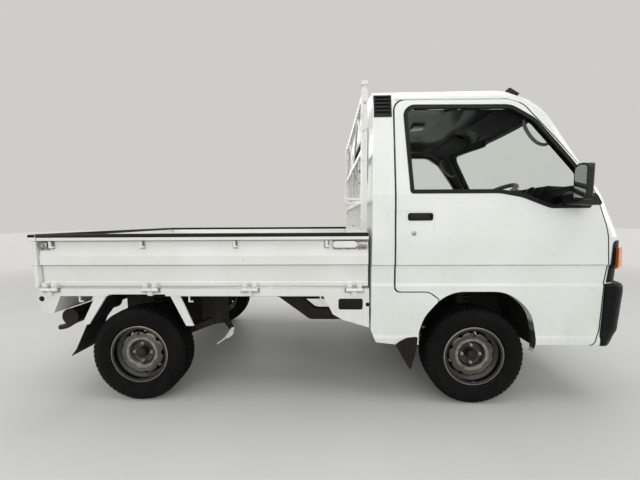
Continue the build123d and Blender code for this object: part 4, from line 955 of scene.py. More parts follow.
# x, z of the cushion seen from the side, then of the back
CUSHION = [(0.4, 0.722), (0.86, 0.722), (0.886, 0.76), (0.886, 0.862), (0.86, 0.884), (0.64, 0.888),
           (0.47, 0.872), (0.424, 0.862), (0.4, 0.85)]
BACK = [(0.336, 0.79), (0.402, 0.8), (0.42, 0.892), (0.446, 0.92), (0.424, 1.08), (0.372, 1.28),
        (0.346, 1.462), (0.312, 1.462), (0.3, 1.25), (0.31, 1.0)]
print("seats", round(SEAT_OUTER - SEAT_INNER, 3), "wide")


# %% Stuffing and seams
VOXEL_FINE, VOXEL_QUICK = 0.006, 0.014
PRESSURE = 4.0
MOMENTS = 20


def stuff(piece, cap):
    """Blow a closed shape up like a cushion, holding how far each point may move."""
    remesh = piece.modifiers.new("remesh", "REMESH")
    remesh.mode = "VOXEL"
    remesh.voxel_size = VOXEL_FINE
    apply_all(piece)
    before = [v.co.copy() for v in piece.data.vertices]
    cloth = piece.modifiers.new("stuffing", "CLOTH")
    cloth.settings.use_pressure = True
    cloth.settings.uniform_pressure_force = PRESSURE
    cloth.settings.effector_weights.gravity = 0.0
    cloth.settings.quality = 4
    for moment in range(1, MOMENTS + 1):
        bpy.context.scene.frame_set(moment)
    apply_all(piece)
    for vertex, start in zip(piece.data.vertices, before):
        moved = vertex.co - start
        if moved.length > cap:
            vertex.co = start + moved.normalized() * cap
    smooth = piece.modifiers.new("smooth", "CORRECTIVE_SMOOTH")
    smooth.iterations = 3
    smooth.use_only_smooth = True
    return apply_all(piece)


def groove(piece, planes, depth, width):
    """Press sewn channels into the shape: each is a plane given by a point and a direction."""
    middle = sum((v.co for v in piece.data.vertices), Vector()) / len(piece.data.vertices)
    for vertex in piece.data.vertices:
        for point, across_seam in planes:
            away = abs((vertex.co - Vector(point)).dot(Vector(across_seam)))
            if away < width:
                share = (1 - away / width) ** 2
                inward = middle - vertex.co
                inward.y *= 0.3
                vertex.co += inward.normalized() * depth * share


# %% The two seats
PUFF_LIMIT = 0.012
SEAM_OFFSET = 0.115
SEAM_DEPTH, SEAM_WIDTH = 0.006, 0.01


def build_seat(label, side):
    """The cushion and back of one seat."""
    y0, y1 = sorted((side * SEAT_INNER, side * SEAT_OUTER))
    made = []
    for kind, rows in (("cushion", CUSHION), ("back", BACK)):
        shape = side_plate(f"seat_{kind}_{label}", rows, y0, y1 - y0, 0.022, 3)
        stuff(shape, PUFF_LIMIT)
        middle_y = (y0 + y1) / 2
        seams = [((0, middle_y + turn * SEAM_OFFSET, 0), (0, 1, 0)) for turn in (-1, 1)]
        groove(shape, seams, SEAM_DEPTH, SEAM_WIDTH)
        made.append(shape)
    return made


for label, side in SEAT_SIDES.items():
    for shape in build_seat(label, side):
        ship(shape, "root", "seat_cloth", angle=80)
        if shape.name == "seat_cushion_driver":
            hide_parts("seats")
print("seats made")

# %% [markdown]
# ## Rubber on the gates
# A strip of black rubber caps each gate, so that a load slides over it without a scratch. It wraps a little
# way down both faces. A rounded block over the gate's measured top is enough, because it is straight.

# %% Gate strips
GATE_OUTER = 0.69
GATE_INNER = 0.644
STRIP_DEPTH = 0.0185
STRIP_PROUD = 0.0012


def cap_strip(body, low, high):
    """A strip over the top of a gate, from its box seen from above."""
    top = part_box(body)[1].z
    made = slab("strip_" + body, (*low, top - STRIP_DEPTH), (*high, top + STRIP_PROUD), 0.003)
    ship(made, body, "seal_rubber")


for side, label in SIDES:
    body = "side_gate_" + label
    low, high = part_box(body)
    y0, y1 = sorted((side * (GATE_OUTER + STRIP_PROUD), side * (GATE_INNER - STRIP_PROUD)))
    cap_strip(body, (low.x - 0.0005, y0), (high.x + 0.0005, y1))
low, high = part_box("tailgate")
back = low.x + GATE_OUTER - GATE_INNER + STRIP_PROUD
cap_strip("tailgate", (low.x - 0.0005, -GATE_OUTER), (back, GATE_OUTER))
print("gate strips made")

# %% [markdown]
# ## Bolts and hinge sleeves
# Small fasteners say how a truck is put together: two bolts on each gate hinge, two at each foot of the
# guard frame. All of them are alike, so one helper makes a head on its washer. The hinge barrels get round
# sleeves, the middle one fixed to the sill and the outer two to the gate.

# %% Bolt heads
TAIL_HINGES_Y = [-0.5, 0.0, 0.5]
HINGE_BOLT_Z = 0.6745
HINGE_BOLTS = (-0.026, 0.026)
bolts_made = 0


def bolt(body, place, out, radius, finish="bed_paint", slot="bed_paint"):
    """A hexagon head on a washer, standing out from a face."""
    global bolts_made
    place, out = Vector(place), Vector(out)
    bolts_made += 1
    name = f"bolt_{bolts_made}"
    made = join(name, [
        bar(name + "_head", place, place + out * radius * 0.75, radius, 6, rounding=radius * 0.12),
        bar(name + "_washer", place - out * 0.001, place + out * 0.0018, radius * 1.45, 18),
    ])
    ship(made, body, slot, finish)


for x in HINGES_X:
    for offset in HINGE_BOLTS:
        for side, label in SIDES:
            bolt("side_gate_" + label, (x + offset, side * 0.6905, HINGE_BOLT_Z), (0, side, 0), 0.0055)
# Rounded sleeves on the hinge barrels: one on the sill between two on the gate
HINGE_AXIS = (0.69, 0.651)


def sleeve(near, far, y, z):
    """A short round barrel along the truck."""
    return bar("sleeve", (near, y, z), (far, y, z), 0.0098, 18, rounding=0.0022)


for side, label in SIDES:
    y, z = side * HINGE_AXIS[0], HINGE_AXIS[1]
    fixed, moving = [], []
    for x in HINGES_X:
        fixed.append(sleeve(x - 0.0122, x + 0.0122, y, z))
        for turn in (-1, 1):
            moving.append(sleeve(*sorted((x + turn * 0.0146, x + turn * 0.0455)), y, z))
    ship(join("hinge_sleeves_" + label, fixed), "root", "bed_paint")
    ship(join("gate_sleeves_" + label, moving), "side_gate_" + label, "bed_paint")
for y in TAIL_HINGES_Y:
    for offset in HINGE_BOLTS:
        bolt("tailgate", (-1.6405, y + offset, HINGE_BOLT_Z), (-1, 0, 0), 0.0055)
for side, _ in SIDES:
    for z in (0.985, 1.035):
        bolt("root", (0.188, side * 0.6, z), (-1, 0, 0), 0.008)
    for x, z in ((0.2, 0.4), (0.212, 0.455)):
        bolt("root", (x, side * 0.3505, z), (0, side, 0), 0.009, "chassis_paint", "chassis_paint")
print(bolts_made, "bolts")

# %% [markdown]
# ## Plugs, catches and keys
# Rubber plugs close holes in the panels, a steel catch sits at each end of a side gate, and a key cylinder
# below each door handle. They could be painted on, but they stand out and catch the light, so each is a
# small turned or rounded body of its own.

# %% Plugs, catches and key cylinders
# x, z, radius of the dark plugs in the right and left panels
PLUGS = [(-1.605, 0.598, 0.0145), (0.218, 0.568, 0.011)]
SILL_FACE = 0.676
# x, z, corner radius
SHADE_BUNG = [(0.0585, 0.5375, 0.012), (0.1925, 0.5375, 0.012), (0.1925, 0.6005, 0.012), (0.0585, 0.6005, 0.012)]
KEY_PLACE = (0.457, 0.956)


def disc(name, centre, out, radius, proud):
    """A domed round button on a face."""
    return turned(name, [(0.0005, -0.003), (radius, -0.003), (radius, proud * 0.5), (radius * 0.75, proud),
                         (0.0005, proud * 1.1)], centre, out, 24)


for side, label in SIDES:
    for number, (x, z, radius) in enumerate(PLUGS):
        plug = disc(f"plug_{label}_{number}", (x, side * SILL_FACE, z), (0, side, 0), radius, 0.004)
        ship(plug, "root", "seal_rubber")
    body = "door_" + label
    key = join("key_" + label, [
        disc("key_ring_" + label, (KEY_PLACE[0], side * 0.6915, KEY_PLACE[1]), (0, side, 0), 0.0125, 0.003),
        slab("key_slot_" + label, (KEY_PLACE[0] - 0.001, side * 0.6945 - 0.001, KEY_PLACE[1] - 0.005),
             (KEY_PLACE[0] + 0.001, side * 0.6945 + 0.001, KEY_PLACE[1] + 0.005)),
    ])
    ship(key, body, "body_paint", "bright_steel")
    gate = "side_gate_" + label
    for x0, x1, face in ((0.168, 0.212, 0.6875), (-1.59, -1.548, 0.682)):
        y0, y1 = sorted((side * face, side * 0.66))
        pin = Vector(((x0 + x1) / 2, side * face, 0.898))
        tooth = (pin.x, side * (face - 0.004), pin.z)
        catch = join(f"catch_{label}_{'front' if x0 > 0 else 'rear'}", [
            slab("catch_plate", (x0, y0, 0.884), (x1, y1, 0.912), 0.002),
            bar("catch_pin", pin, (pin.x, side * (face + 0.006), pin.z), 0.008, 20, rounding=0.001),
            bar("catch_tooth", (x0 - 0.01, *tooth[1:]), tooth, 0.005, 12, rounding=0.001),
        ])
        ship(catch, gate, "bed_paint", "bright_steel")
    # A black rubber bung fills the rounded opening in the skirt; it also stands in for the shade inside the
    # opening
    shade_bung = side_plate("skirt_shade_bung_" + label, rounded(SHADE_BUNG), side * 0.6675, side * 0.004, 0.001)
    ship(shade_bung, "root", "seal_rubber")
print("plugs, keys and catches made")

# %% [markdown]
# ## Wings of the mudflaps
# Rubber wings close the corners of the cab behind the front wheels. On the truck they are cut from sheet, so
# each is made the same way: an outline with soft corners, pushed out to a thin plate.

# %% Outer wings of the front mudflaps
# x, z, corner radius of the rubber wing that closes the corner of the cab behind the front wheel
WING = [(0.3684, 0.3471, 0.012), (0.3925, 0.3669, 0), (0.4299, 0.3866, 0.01), (0.489, 0.3925, 0.008),
        (0.4845, 0.3477, 0), (0.4799, 0.3084, 0), (0.4647, 0.2519, 0), (0.4547, 0.2007, 0.006),
        (0.4324, 0.2346, 0), (0.4101, 0.2741, 0)]
for side, label in SIDES:
    wing = side_plate("flap_wing_" + label, rounded(WING), side * 0.6835, side * 0.0085, 0.0025)
    ship(wing, "root", "flap_rubber")
print("wings", len(wing.data.polygons), "faces each")

# %% [markdown]
# ## Lip of the bumper
# A moulded bumper ends below in a thin wall drawn in towards the truck. A block under it would show a flat
# bottom. The lip is one outline round the whole front, pushed down, whose lower points then go to a line of
# their own, so that the wall leans in evenly round both corners.

# %% Lower lip of the bumper
# x, y of the lip's upper line, then x, y of its lower line: outer face from the door forwards, right side
LIP_SIDE = [(1.457, -0.6855, 1.457, -0.6868), (1.49, -0.6855, 1.486, -0.685), (1.51, -0.683, 1.502, -0.6785),
            (1.53, -0.6755, 1.516, -0.6695), (1.55, -0.661, 1.534, -0.656), (1.56, -0.6505, 1.546, -0.6425),
            (1.57, -0.632, 1.557, -0.621)]
# The same for the inner face, from the front back to the door
LIP_INSIDE = [(1.556, -0.612, 1.545, -0.6), (1.545, -0.638, 1.53, -0.635), (1.52, -0.668, 1.505, -0.662),
              (1.5, -0.678, 1.49, -0.672), (1.457, -0.68, 1.457, -0.681)]
LIP_TOP, LIP_LOW = 0.4, 0.3445
# The bumper's front is at this x in the middle and falls back by y squared over the bow
BUMPER_FRONT, BUMPER_BOW = 1.6267, 7.55
LIP_WALL = 0.018
LIP_STEP = 0.06
# The lower line is the upper one drawn in to this x and to the middle
DRAWN_TO = 1.3
DRAW_X, DRAW_Y = 0.9555, 0.982


def lip_front(y, inwards):
    """A pair of points, upper and lower, on the bowed front of the bumper."""
    x = BUMPER_FRONT - inwards - y * y / BUMPER_BOW
    return (x, y, DRAWN_TO + (x - DRAWN_TO) * DRAW_X, y * DRAW_Y)


def other_side(rows):
    """Rows of the right side in reverse order on the left."""
    return [(x, -y, low_x, -low_y) for x, y, low_x, low_y in reversed(rows)]


lip_rows = LIP_SIDE + [lip_front(step * LIP_STEP, 0.0) for step in range(-10, 11)] + other_side(LIP_SIDE)
lip_rows += other_side(LIP_INSIDE)
lip_rows += [lip_front(step * LIP_STEP, LIP_WALL) for step in range(9, -10, -1)] + LIP_INSIDE
lip = plate("bumper_lip", [(row[0], row[1], LIP_TOP) for row in lip_rows], (0, 0, LIP_LOW - LIP_TOP))
for vertex in lip.data.vertices:
    if vertex.co.z < LIP_LOW + 0.01:
        row = min(lip_rows, key=lambda r: math.hypot(r[0] - vertex.co.x, r[1] - vertex.co.y))
        vertex.co.x, vertex.co.y = row[2:]
ship(soften(lip, 0.002, 2, 50), "root", "bumper_plastic")
print("bumper lip", len(lip.data.polygons), "faces")

# %% [markdown]
# ## Strips above the doors
# A line of painted steel shows in the gap between each door and the roof. Its depth follows the door, so
# rays are sent at the door's skin, and a thin tube is drawn just inside of the points that they hit.

# %% Pale strip in the gap above each door
# x, z of the line between the door's top edge and the roof
GAP_LINE = [(0.372, 1.6772), (0.5, 1.6762), (0.65, 1.6746), (0.8, 1.673), (0.93, 1.6714), (0.985, 1.665),
            (1.04, 1.651)]
for side, label in SIDES:
    strip_line = []
    for x, z in GAP_LINE:
        door = nodes["door_" + label]
        hit, spot, _, _ = door.ray_cast(Vector((x, side * 0.9, z - 0.012)), Vector((0, -side, 0)))
        strip_line.append((x, (spot.y if hit else side * 0.61) - side * 0.0045, z))
    ship(tube("door_strip_" + label, strip_line, 0.0017, smooth=False), "root", "body_paint", "guard_paint")
print("door strips made")

# %% [markdown]
# ## Mirror glass
# The glass lies in the shallow, slanting recess of its housing. It could be a patch of shiny finish, but a
# thin plate of its own also catches the light on its edge. The left one is the right one mirrored.

# %% Mirror glass
# y, z, corner radius of the recess, seen from behind
GLASS_FACE = [(-0.8565, 1.1205, 0.019), (-0.7645, 1.1315, 0.009), (-0.7645, 1.2705, 0.021),
              (-0.8005, 1.282, 0.063), (-0.8565, 1.2715, 0.027)]
# The recess slants: x and y of its outer edge, and how x grows with y
GLASS_X, GLASS_Y = 1.1755, -0.862
GLASS_SLOPE = 0.031 / 0.105
points = [(GLASS_X + (y - GLASS_Y) * GLASS_SLOPE, y, z) for y, z in rounded(GLASS_FACE)]
glass = plate("mirror_glass_right", points, (0.002, -0.0006, 0), 0.0003, 1)
other_glass = copy_of(glass, "mirror_glass_left", mirror=True)
ship(glass, "door_right", "trim_plastic", "mirror_silver")
ship(other_glass, "door_left", "trim_plastic", "mirror_silver")
print("mirror glass", len(glass.data.polygons), "faces")

# %% [markdown]
# ## Wipers
# The rubbers rest on the windscreen, which is bowed, so a straight bar would float or cut in. Each blade is
# a tube through points that lie on the glass, with a spine and claws above it.

# %% Wiper blades
SCREEN_FOOT = Vector((1.519, 0, 1.16))
SCREEN_RUN = Vector((-0.254, 0, 0.422)).normalized()
SCREEN_OUT = Vector((SCREEN_RUN.z, 0, -SCREEN_RUN.x))
BOW = 3.8
# A blade is drawn in even steps to both sides of its arm's tip, and rises slightly from end to end
BLADE_STEP = 0.055
BLADE_RISE = 0.078
TIP_UP = 0.09
SCREEN_HALF = 0.56


def on_screen(y, up, out):
    """A point on the bowed windscreen: so far across, so far up it, so far off it."""
    return SCREEN_FOOT + SCREEN_RUN * up + SCREEN_OUT * out + Vector((-y * y / (2 * BOW), y, 0))


for number, (pivot, tip) in enumerate(((-0.42, -0.04), (0.12, 0.5))):
    line = [tip + step * BLADE_STEP for step in range(-4, 3)]
    slope = BLADE_RISE / (tip - pivot)
    spots = [(y, TIP_UP + (y - tip) * slope) for y in line if abs(y) < SCREEN_HALF]
    parts = [
        tube("wiper_rubber", [on_screen(y, up, -0.009) for y, up in spots], 0.0032),
        tube("wiper_spine", [on_screen(y, up, 0.001) for y, up in spots], 0.0045),
    ]
    for y, up in spots[::2]:
        parts.append(bar("wiper_claw", on_screen(y, up, -0.007), on_screen(y, up, 0.004), 0.004, 8))
    ship(join(f"wiper_blade_{number}", parts), "root", "trim_plastic")
print("wipers made")

# %% [markdown]
# ## Inside the cab
# What shows through the glass is dressed and no more. A door card is an outline with round corners, pushed
# out to a thin board, with an armrest, a lever and a winder joined on.

# %% Door cards
CARD = [(0.4, 0.735, 0.02), (1.06, 0.735, 0.03), (1.19, 0.79, 0.05), (1.236, 1.06, 0.02), (1.15, 1.066, 0.06),
        (1.01, 1.118, 0.12), (0.9, 1.138, 0.1), (0.4, 1.14, 0.02)]
CARD_FACE = 0.632
CARD_THICK = 0.0115


def build_card(label, side):
    """A lined card with an armrest, a pull and a window winder."""
    card = side_plate("card_" + label, rounded(CARD), side * CARD_FACE, side * CARD_THICK, 0.003)
    y0, y1 = sorted((side * 0.594, side * (CARD_FACE + 0.002)))
    rest = slab("card_rest_" + label, (0.56, y0, 0.925), (0.9, y1, 0.955), 0.009, 3)
    hub = Vector((1.02, side * CARD_FACE, 0.9))
    out = Vector((0, -side, 0))
    end = hub + Vector((0.06, 0, -0.085))
    winder = [
        bar("winder_hub", hub, hub + out * 0.024, 0.019, 24, 0.015, 0.002),
        bar("winder_arm", hub + out * 0.018, end + out * 0.022, 0.0065, 12, rounding=0.001),
        bar("winder_knob", end + out * 0.018, end + out * 0.046, 0.011, 20, 0.009, 0.002),
    ]
    y0, y1 = sorted((side * 0.618, side * 0.634))
    lever = slab("card_lever_" + label, (1.06, y0, 1.0), (1.14, y1, 1.026), 0.004)
    return join("card_" + label, [card, rest, lever] + winder)


for side, label in SIDES:
    ship(build_card(label, side), "door_" + label, "interior_plastic")
print("door cards made")

# %% [markdown]
# ## Handles, visors and roof lamp
# A grab handle is a bent tube between two feet on the pillar, drawn on one side and mirrored. A visor is a
# padded board under the header, so its edges are well rounded.

# %% Grab handles, visors and lamp
# x, y, z of a handle on the right pillar, from its upper foot to its lower one
GRAB = [(1.128, -0.585, 1.59), (1.104, -0.57, 1.592), (1.088, -0.558, 1.566), (1.106, -0.556, 1.52),
        (1.15, -0.556, 1.462), (1.196, -0.558, 1.436), (1.222, -0.568, 1.44), (1.236, -0.59, 1.456)]
grab = tube("grab_right", GRAB, 0.0085, sides=4)
other_grab = copy_of(grab, "grab_left", mirror=True)
ship(grab, "root", "wheel_plastic")
ship(other_grab, "root", "wheel_plastic")
# x, z of a visor seen from the side, hung under the header
VISOR = [(1.01, 1.672, 0.006), (1.016, 1.684, 0.006), (1.15, 1.63, 0.006), (1.144, 1.616, 0.006)]
for label, y in (("driver", -0.5), ("passenger", 0.11)):
    ship(side_plate("visor_" + label, rounded(VISOR, 3), y, 0.39, 0.003), "root", "interior_plastic")
roof_lamp = slab("roof_lamp", (0.64, -0.045, 1.706), (0.73, 0.045, 1.727), 0.006, 3)
ship(roof_lamp, "root", "lamp_glass")
print("handles, visors and lamp made")

# %% [markdown]
# ## Dashboard
# Vents, radio, heater and glove box are rows of one table, since each is a rounded panel with a few small
# parts on it. The dials lie in the slanting face of the binnacle: a turned rim, a flat face and a hand.

# %% Dashboard face
# name, low corner, high corner, finish: panels, vents and the glove box on the face of the dashboard
FACE_PANELS = [
    ("radio", (1.254, -0.09, 1.075), (1.29, 0.09, 1.125), "trim_plastic"),
    ("heater", (1.256, -0.09, 1.005), (1.29, 0.09, 1.062), "trim_plastic"),
    ("glove_box", (1.258, 0.17, 1.0), (1.29, 0.52, 1.11), "interior_plastic"),
    ("vent_right", (1.252, -0.62, 1.105), (1.29, -0.52, 1.15), "trim_plastic"),
    ("vent_left", (1.252, 0.52, 1.118), (1.29, 0.62, 1.163), "trim_plastic"),
    ("vent_middle", (1.252, -0.09, 1.135), (1.29, 0.09, 1.172), "trim_plastic"),
]
for name, low, high, finish in FACE_PANELS:
    pieces = [slab(name, low, high, 0.003)]
    if name.startswith("vent"):
        for step in range(3):
            z = low[2] + 0.01 + step * 0.012
            pieces.append(slab(name + "_slat", (low[0] - 0.003, low[1] + 0.006, z),
                               (low[0] + 0.006, high[1] - 0.006, z + 0.003)))
    if name in ("radio", "heater"):
        for y in (-0.066, 0.066):
            middle = Vector((low[0], y, (low[2] + high[2]) / 2))
            front = middle - Vector((0.014, 0, 0))
            pieces.append(bar(name + "_knob", middle, front, 0.011, 20, 0.0095, 0.001))
    if name == "heater":
        for y in (-0.03, 0.0, 0.03):
            pieces.append(slab(name + "_slide", (low[0] - 0.006, y - 0.004, 1.022),
                               (low[0] + 0.002, y + 0.004, 1.046), 0.001))
    ship(join(name, pieces), "root", "interior_plastic", finish)

# The dials lie in the slanting face of the binnacle
DIAL_OUT = Vector((-0.923, 0, 0.385))
# The way from a hand's foot to its tip, for each metre of the dial's radius
HAND = Vector((0.25, -0.5, 0.6))
for name, y, radius in (("dial_speed", -0.37, 0.042), ("dial_fuel", -0.27, 0.03)):
    middle = Vector((1.277, y, 1.186))
    inner = radius - 0.003
    rim_rows = [(inner, -0.004), (radius, -0.004), (radius + 0.001, 0.005), (inner, 0.006)]
    rim = turned(name, rim_rows, middle, DIAL_OUT, 40)
    ship(rim, "root", "interior_plastic", "bright_steel")
    face = bar(name + "_face", middle - DIAL_OUT * 0.003, middle + DIAL_OUT * 0.0015, inner, 40)
    ship(face, "root", "interior_plastic", "trim_plastic")
    foot = middle + DIAL_OUT * 0.003
    hand = bar(name + "_hand", foot, foot + HAND * radius, 0.0009, 8, 0.0004)
    ship(hand, "root", "interior_plastic", "indicator_lens")
print(len(FACE_PANELS), "panels and the dials made")

# %% [markdown]
# ## Gear boot and pedals
# The boot is folded rubber, which is a zigzag section turned about the lever. A pedal's pad is made flat on
# the origin with its ribs, then turned and moved to its arm, because a slanting block is hard to draw.

# %% Gear boot and pedals
# radius, height of the folded boot's section
BOOT_ROWS = [(0.06, 0.0), (0.062, 0.006), (0.05, 0.014), (0.054, 0.022), (0.042, 0.032), (0.045, 0.04),
             (0.033, 0.05), (0.036, 0.058), (0.024, 0.07), (0.013, 0.082), (0.009, 0.088), (0.009, 0.0)]
boot = turned("gear_boot", BOOT_ROWS, (1.0505, 0, 0.705), (-0.133, 0, 0.991), 40)
ship(boot, "root", "interior_plastic", "flap_rubber")
# name, y, width of each pedal's pad
PEDALS = [("clutch", -0.43, 0.052), ("brake", -0.34, 0.062), ("throttle", -0.235, 0.045)]
for name, y, width in PEDALS:
    pad = slab("pedal_" + name, (-0.006, -width / 2, -0.03), (0.006, width / 2, 0.03), 0.003)
    ribs = [slab("pedal_rib", (-0.009, -width / 2 + 0.004, z - 0.002), (-0.004, width / 2 - 0.004, z + 0.002))
            for z in (-0.018, -0.006, 0.006, 0.018)]
    pad = join("pedal_" + name, [pad] + ribs)
    turn_and_move(pad, math.radians(30), (1.33, y, 0.6))
    arm = tube("pedal_arm", [(1.334, y, 0.606), (1.372, y, 0.7), (1.384, y, 0.82), (1.37, y, 0.935)], 0.006)
    ship(join("pedal_" + name, [pad, arm]), "root", "interior_plastic", "flap_rubber")
print("cabin dressed")

# %% [markdown]
# ## Springs and boots
# The struts and the rear arms carry coil springs, and the drive shafts have folded rubber boots. A spring
# could be a cylinder with rings, but a tube along a helix shows daylight between its turns.


# %% Coil springs
STEPS_PER_TURN = 14


def coil(name, low, high, radius, wire, turns):
    """A helical spring between two points."""
    low, high = Vector(low), Vector(high)
    run = high - low
    side = run.orthogonal().normalized()
    other = run.normalized().cross(side)
    count = turns * STEPS_PER_TURN
    points = []
    for step in range(count + 1):
        angle = math.tau * turns * step / count
        around = side * math.cos(angle) * radius + other * math.sin(angle) * radius
        points.append(low + run * (step / count) + around)
    return tube(name, points, wire, sides=2)


# axle, x, y and z of the spring's foot, y and z of its head, radius, wire, turns
SPRINGS = [("front", 0.8075, 0.4835, 0.49, 0.4627, 0.592, 0.05, 0.006, 4),
           ("rear", -1.0775, 0.43, 0.335, 0.43, 0.572, 0.056, 0.0065, 6)]
# radius, distance from the gearbox of the folded boot's section
BOOT_FOLDS = [(0.018, 0.0), (0.028, 0.0), (0.033, 0.01), (0.026, 0.016), (0.034, 0.026), (0.028, 0.032),
              (0.038, 0.044), (0.032, 0.05), (0.042, 0.062), (0.018, 0.062)]
for side, label in SIDES:
    for axle, x, y0, z0, y1, z1, radius, wire, turns in SPRINGS:
        spring = coil(f"spring_{axle}_{label}", (x, side * y0, z0), (x, side * y1, z1), radius, wire, turns)
        ship(spring, "root", "chassis_paint")
    shaft_boot = turned("shaft_boot_" + label, BOOT_FOLDS, (-1.0775, side * 0.2525, 0.27), (0, -side, 0), 32)
    ship(shaft_boot, "root", "chassis_paint", "flap_rubber")
print("springs and boots made")

# %% [markdown]
# ## Straps, seams and brackets
# Two steel straps carry the tank, each of three thin slabs that wrap its outside. The muffler has rolled
# seams, which are turned rings. A hanger and a bracket hold the end of the brake rod, and a hook for ropes
# stands on the guard frame. All of them are plain shapes that read well from afar.

# %% Tank straps and muffler seams
TANK_LOW, TANK_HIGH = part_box("fuel_tank")
STRAP_HALF, STRAP_OUT, STRAP_IN = 0.018, 0.002, 0.001
under, over, outer = TANK_LOW.z - STRAP_OUT, TANK_HIGH.z + STRAP_OUT, TANK_HIGH.y + STRAP_OUT
for number, x in enumerate((-0.34, -0.02)):
    straps = []
    for y, low_z, high_z in ((TANK_LOW.y, under, TANK_LOW.z + STRAP_IN),
                             (TANK_HIGH.y - STRAP_IN, under, over),
                             (TANK_LOW.y, TANK_HIGH.z - STRAP_IN, over)):
        straps.append(slab("strap", (x - STRAP_HALF, y, low_z), (x + STRAP_HALF, outer, high_z)))
    ship(join(f"tank_strap_{number}", straps), "root", "chassis_paint", "cast_parts")
MUFFLER = Vector((-1.525, 0, 0.466))
seams = [turned("muffler_seam", [(0.044, -0.005), (0.05, -0.004), (0.05, 0.004), (0.044, 0.005)],
                MUFFLER + Vector((0, y, 0)), (0, 1, 0), 48) for y in (-0.594, -0.256)]
# x, z of the tail pipe's middle line
TAIL_PIPE = [(-1.525, 0.44), (-1.56, 0.41), (-1.6, 0.392), (-1.628, 0.388)]
tail = tube("tail_pipe", [(x, -0.56, z) for x, z in TAIL_PIPE], 0.016, sides=6)
ship(join("muffler_fittings", seams + [tail]), "root", "muffler_steel")
# A dark hanger below the right arm's pivot carries a bright bracket with the end of the brake rod
HANGER = [(-0.722, 0.405), (-0.68, 0.405), (-0.64, 0.322), (-0.628, 0.3), (-0.652, 0.286), (-0.688, 0.335),
          (-0.722, 0.372)]
HANGER_Y = -0.3665
ship(side_plate("rod_hanger", HANGER, HANGER_Y, 0.0165, 0.003), "root", "chassis_paint")
# x, z of the bracket's outline and of the rod's middle line
BRACKET = [(-0.6257, 0.3176), (-0.6469, 0.3118), (-0.6892, 0.2521), (-0.6738, 0.2367), (-0.6353, 0.2675)]
ROD = [(-0.6642, 0.2617), (-0.7075, 0.2271), (-0.746, 0.2001)]
bracket = join("frame_bracket", [
    side_plate("bracket_plate", BRACKET, HANGER_Y - 0.006, 0.0065, 0.001),
    tube("bracket_rod", [(x, HANGER_Y - 0.0025, z) for x, z in ROD], 0.006),
])
ship(bracket, "root", "chassis_paint", "guard_paint")
# The hook on the guard frame's post points to the bed
hook = join("guard_hook", [
    tube("hook_arm_" + str(z), [(0.19, -0.612, z), (0.112, -0.612, z), (0.098, -0.612, z + 0.01),
                                (0.098, -0.612, z + 0.026)], 0.0055) for z in (1.118, 1.14)
])
ship(hook, "root", "guard_paint")
print("underside dressed")

# %% [markdown]
# ## Studio
# The truck stands on a plain pale floor. Where it ends, a horizon would show, so the floor fades into the
# plain colour of the room, which glows only for what is looked at and so lights nothing.

# %% Floor
ROOM_COLOUR = (0.62, 0.61, 0.59, 1)
BLACK = (0, 0, 0, 1)


def looked_at(tree):
    """1 for what is seen straight, in a mirror or through glass, 0 for what only lights a surface."""
    path = add(tree, "LightPath", {})
    beyond = most(tree, path["Is Glossy Ray"], path["Is Transmission Ray"])
    return most(tree, path["Is Camera Ray"], beyond)


clear_selection()
bpy.ops.mesh.primitive_plane_add(size=60, location=(0, 0, 0))
floor = bpy.context.object
floor.name = "floor"
floor_look, tree, shader = new_material("floor_look")
place = own_place(tree)
floor_shade = blend_colours(tree, noise(tree, place, 2.0, 5.0), (0.5, 0.5, 0.49, 1), (0.56, 0.56, 0.55, 1))
# Far from the truck the floor takes the plain colour of the room, so that no horizon shows
far = fade(tree, vector(tree, "LENGTH", place)[1], 2.6, 8.0)
feed(tree, shader, {
    "Base Color": blend_colours(tree, far, floor_shade, BLACK),
    "Emission Color": blend_colours(tree, times(tree, far, looked_at(tree)), BLACK, ROOM_COLOUR),
    "Emission Strength": 1.0,
    "Roughness": 0.6,
})
floor.data.materials.append(floor_look)
print("floor ready")

# %% [markdown]
# ## Light
# Large lamps give soft shadows and long, calm mirror images in the paint. One overhead lights the roof and
# the bed, a wide one behind the camera opens the near side, and three weaker ones shape the rest.

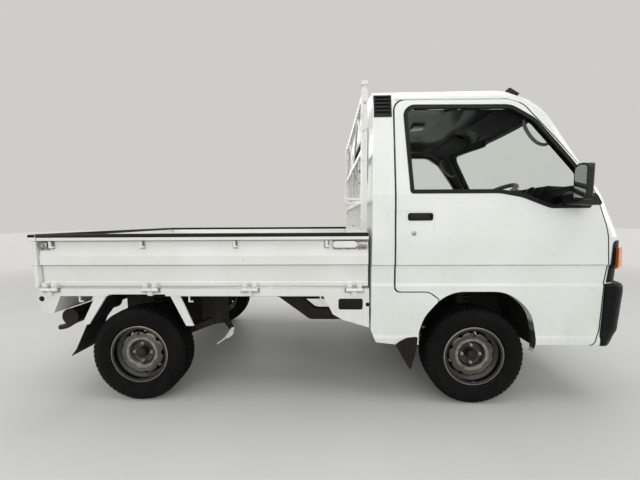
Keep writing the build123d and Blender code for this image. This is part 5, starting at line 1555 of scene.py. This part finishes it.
# %% World and lamps
world = bpy.data.worlds.new("soft_room")
bpy.context.scene.world = world
world.use_nodes = True
tree = world.node_tree
room = blend_colours(tree, looked_at(tree), (0.42, 0.43, 0.43, 1), ROOM_COLOUR)
feed(tree, tree.nodes["Background"], {"Color": room})

# name, place, aim, width, height, watts
LAMPS = [
    ("ceiling", (0.0, -0.3, 4.2), (0.0, 0.0, 0.0), 6.0, 4.0, 150),
    ("near_side", (0.0, -6.5, 3.2), (0.0, 0.0, 0.8), 12.0, 6.0, 280),
    ("far_side", (0.5, 6.0, 3.0), (0.0, 0.0, 0.8), 7.0, 3.0, 110),
    ("front", (6.0, -1.0, 2.6), (0.0, 0.0, 0.8), 3.0, 3.0, 70),
    ("rear", (-6.0, -1.0, 2.6), (0.0, 0.0, 0.8), 3.0, 3.0, 60),
]
for name, place, aim, width, height, watts in LAMPS:
    data = bpy.data.lights.new(name, "AREA")
    data.shape = "RECTANGLE"
    data.size = width
    data.size_y = height
    data.energy = watts
    lamp = bpy.data.objects.new(name, data)
    bpy.context.collection.objects.link(lamp)
    lamp.location = place
    lamp.visible_transmission = False
    lamp.rotation_euler = (Vector(aim) - Vector(place)).to_track_quat("-Z", "Y").to_euler()
bpy.context.scene.view_settings.view_transform = "Standard"
print(len(LAMPS), "lamps")

# %% [markdown]
# ## Camera
# The picture is taken from the right with a wide lens, about a metre above the ground. The place and turn
# are those at which the solids' outline falls on the real truck's.

# %% Camera
IMAGE_WIDTH = 640
FOCAL_PIXELS = 273.56
EYE = (-0.001, -2.1455, 1.0272)
YAW, PITCH, ROLL = math.radians(-1.5), math.radians(4.11), math.radians(-0.37)
lens = bpy.data.cameras.new("camera")
lens.sensor_width = 36
lens.lens = FOCAL_PIXELS / IMAGE_WIDTH * lens.sensor_width
lens.clip_start = 0.01
camera = bpy.data.objects.new("camera", lens)
bpy.context.collection.objects.link(camera)
tilt = Matrix.Rotation(math.radians(90) - PITCH, 4, "X") @ Matrix.Rotation(ROLL, 4, "Z")
camera.matrix_world = Matrix.Translation(EYE) @ Matrix.Rotation(-YAW, 4, "Z") @ tilt
bpy.context.scene.camera = camera
print("lens", round(lens.lens, 2), "mm")
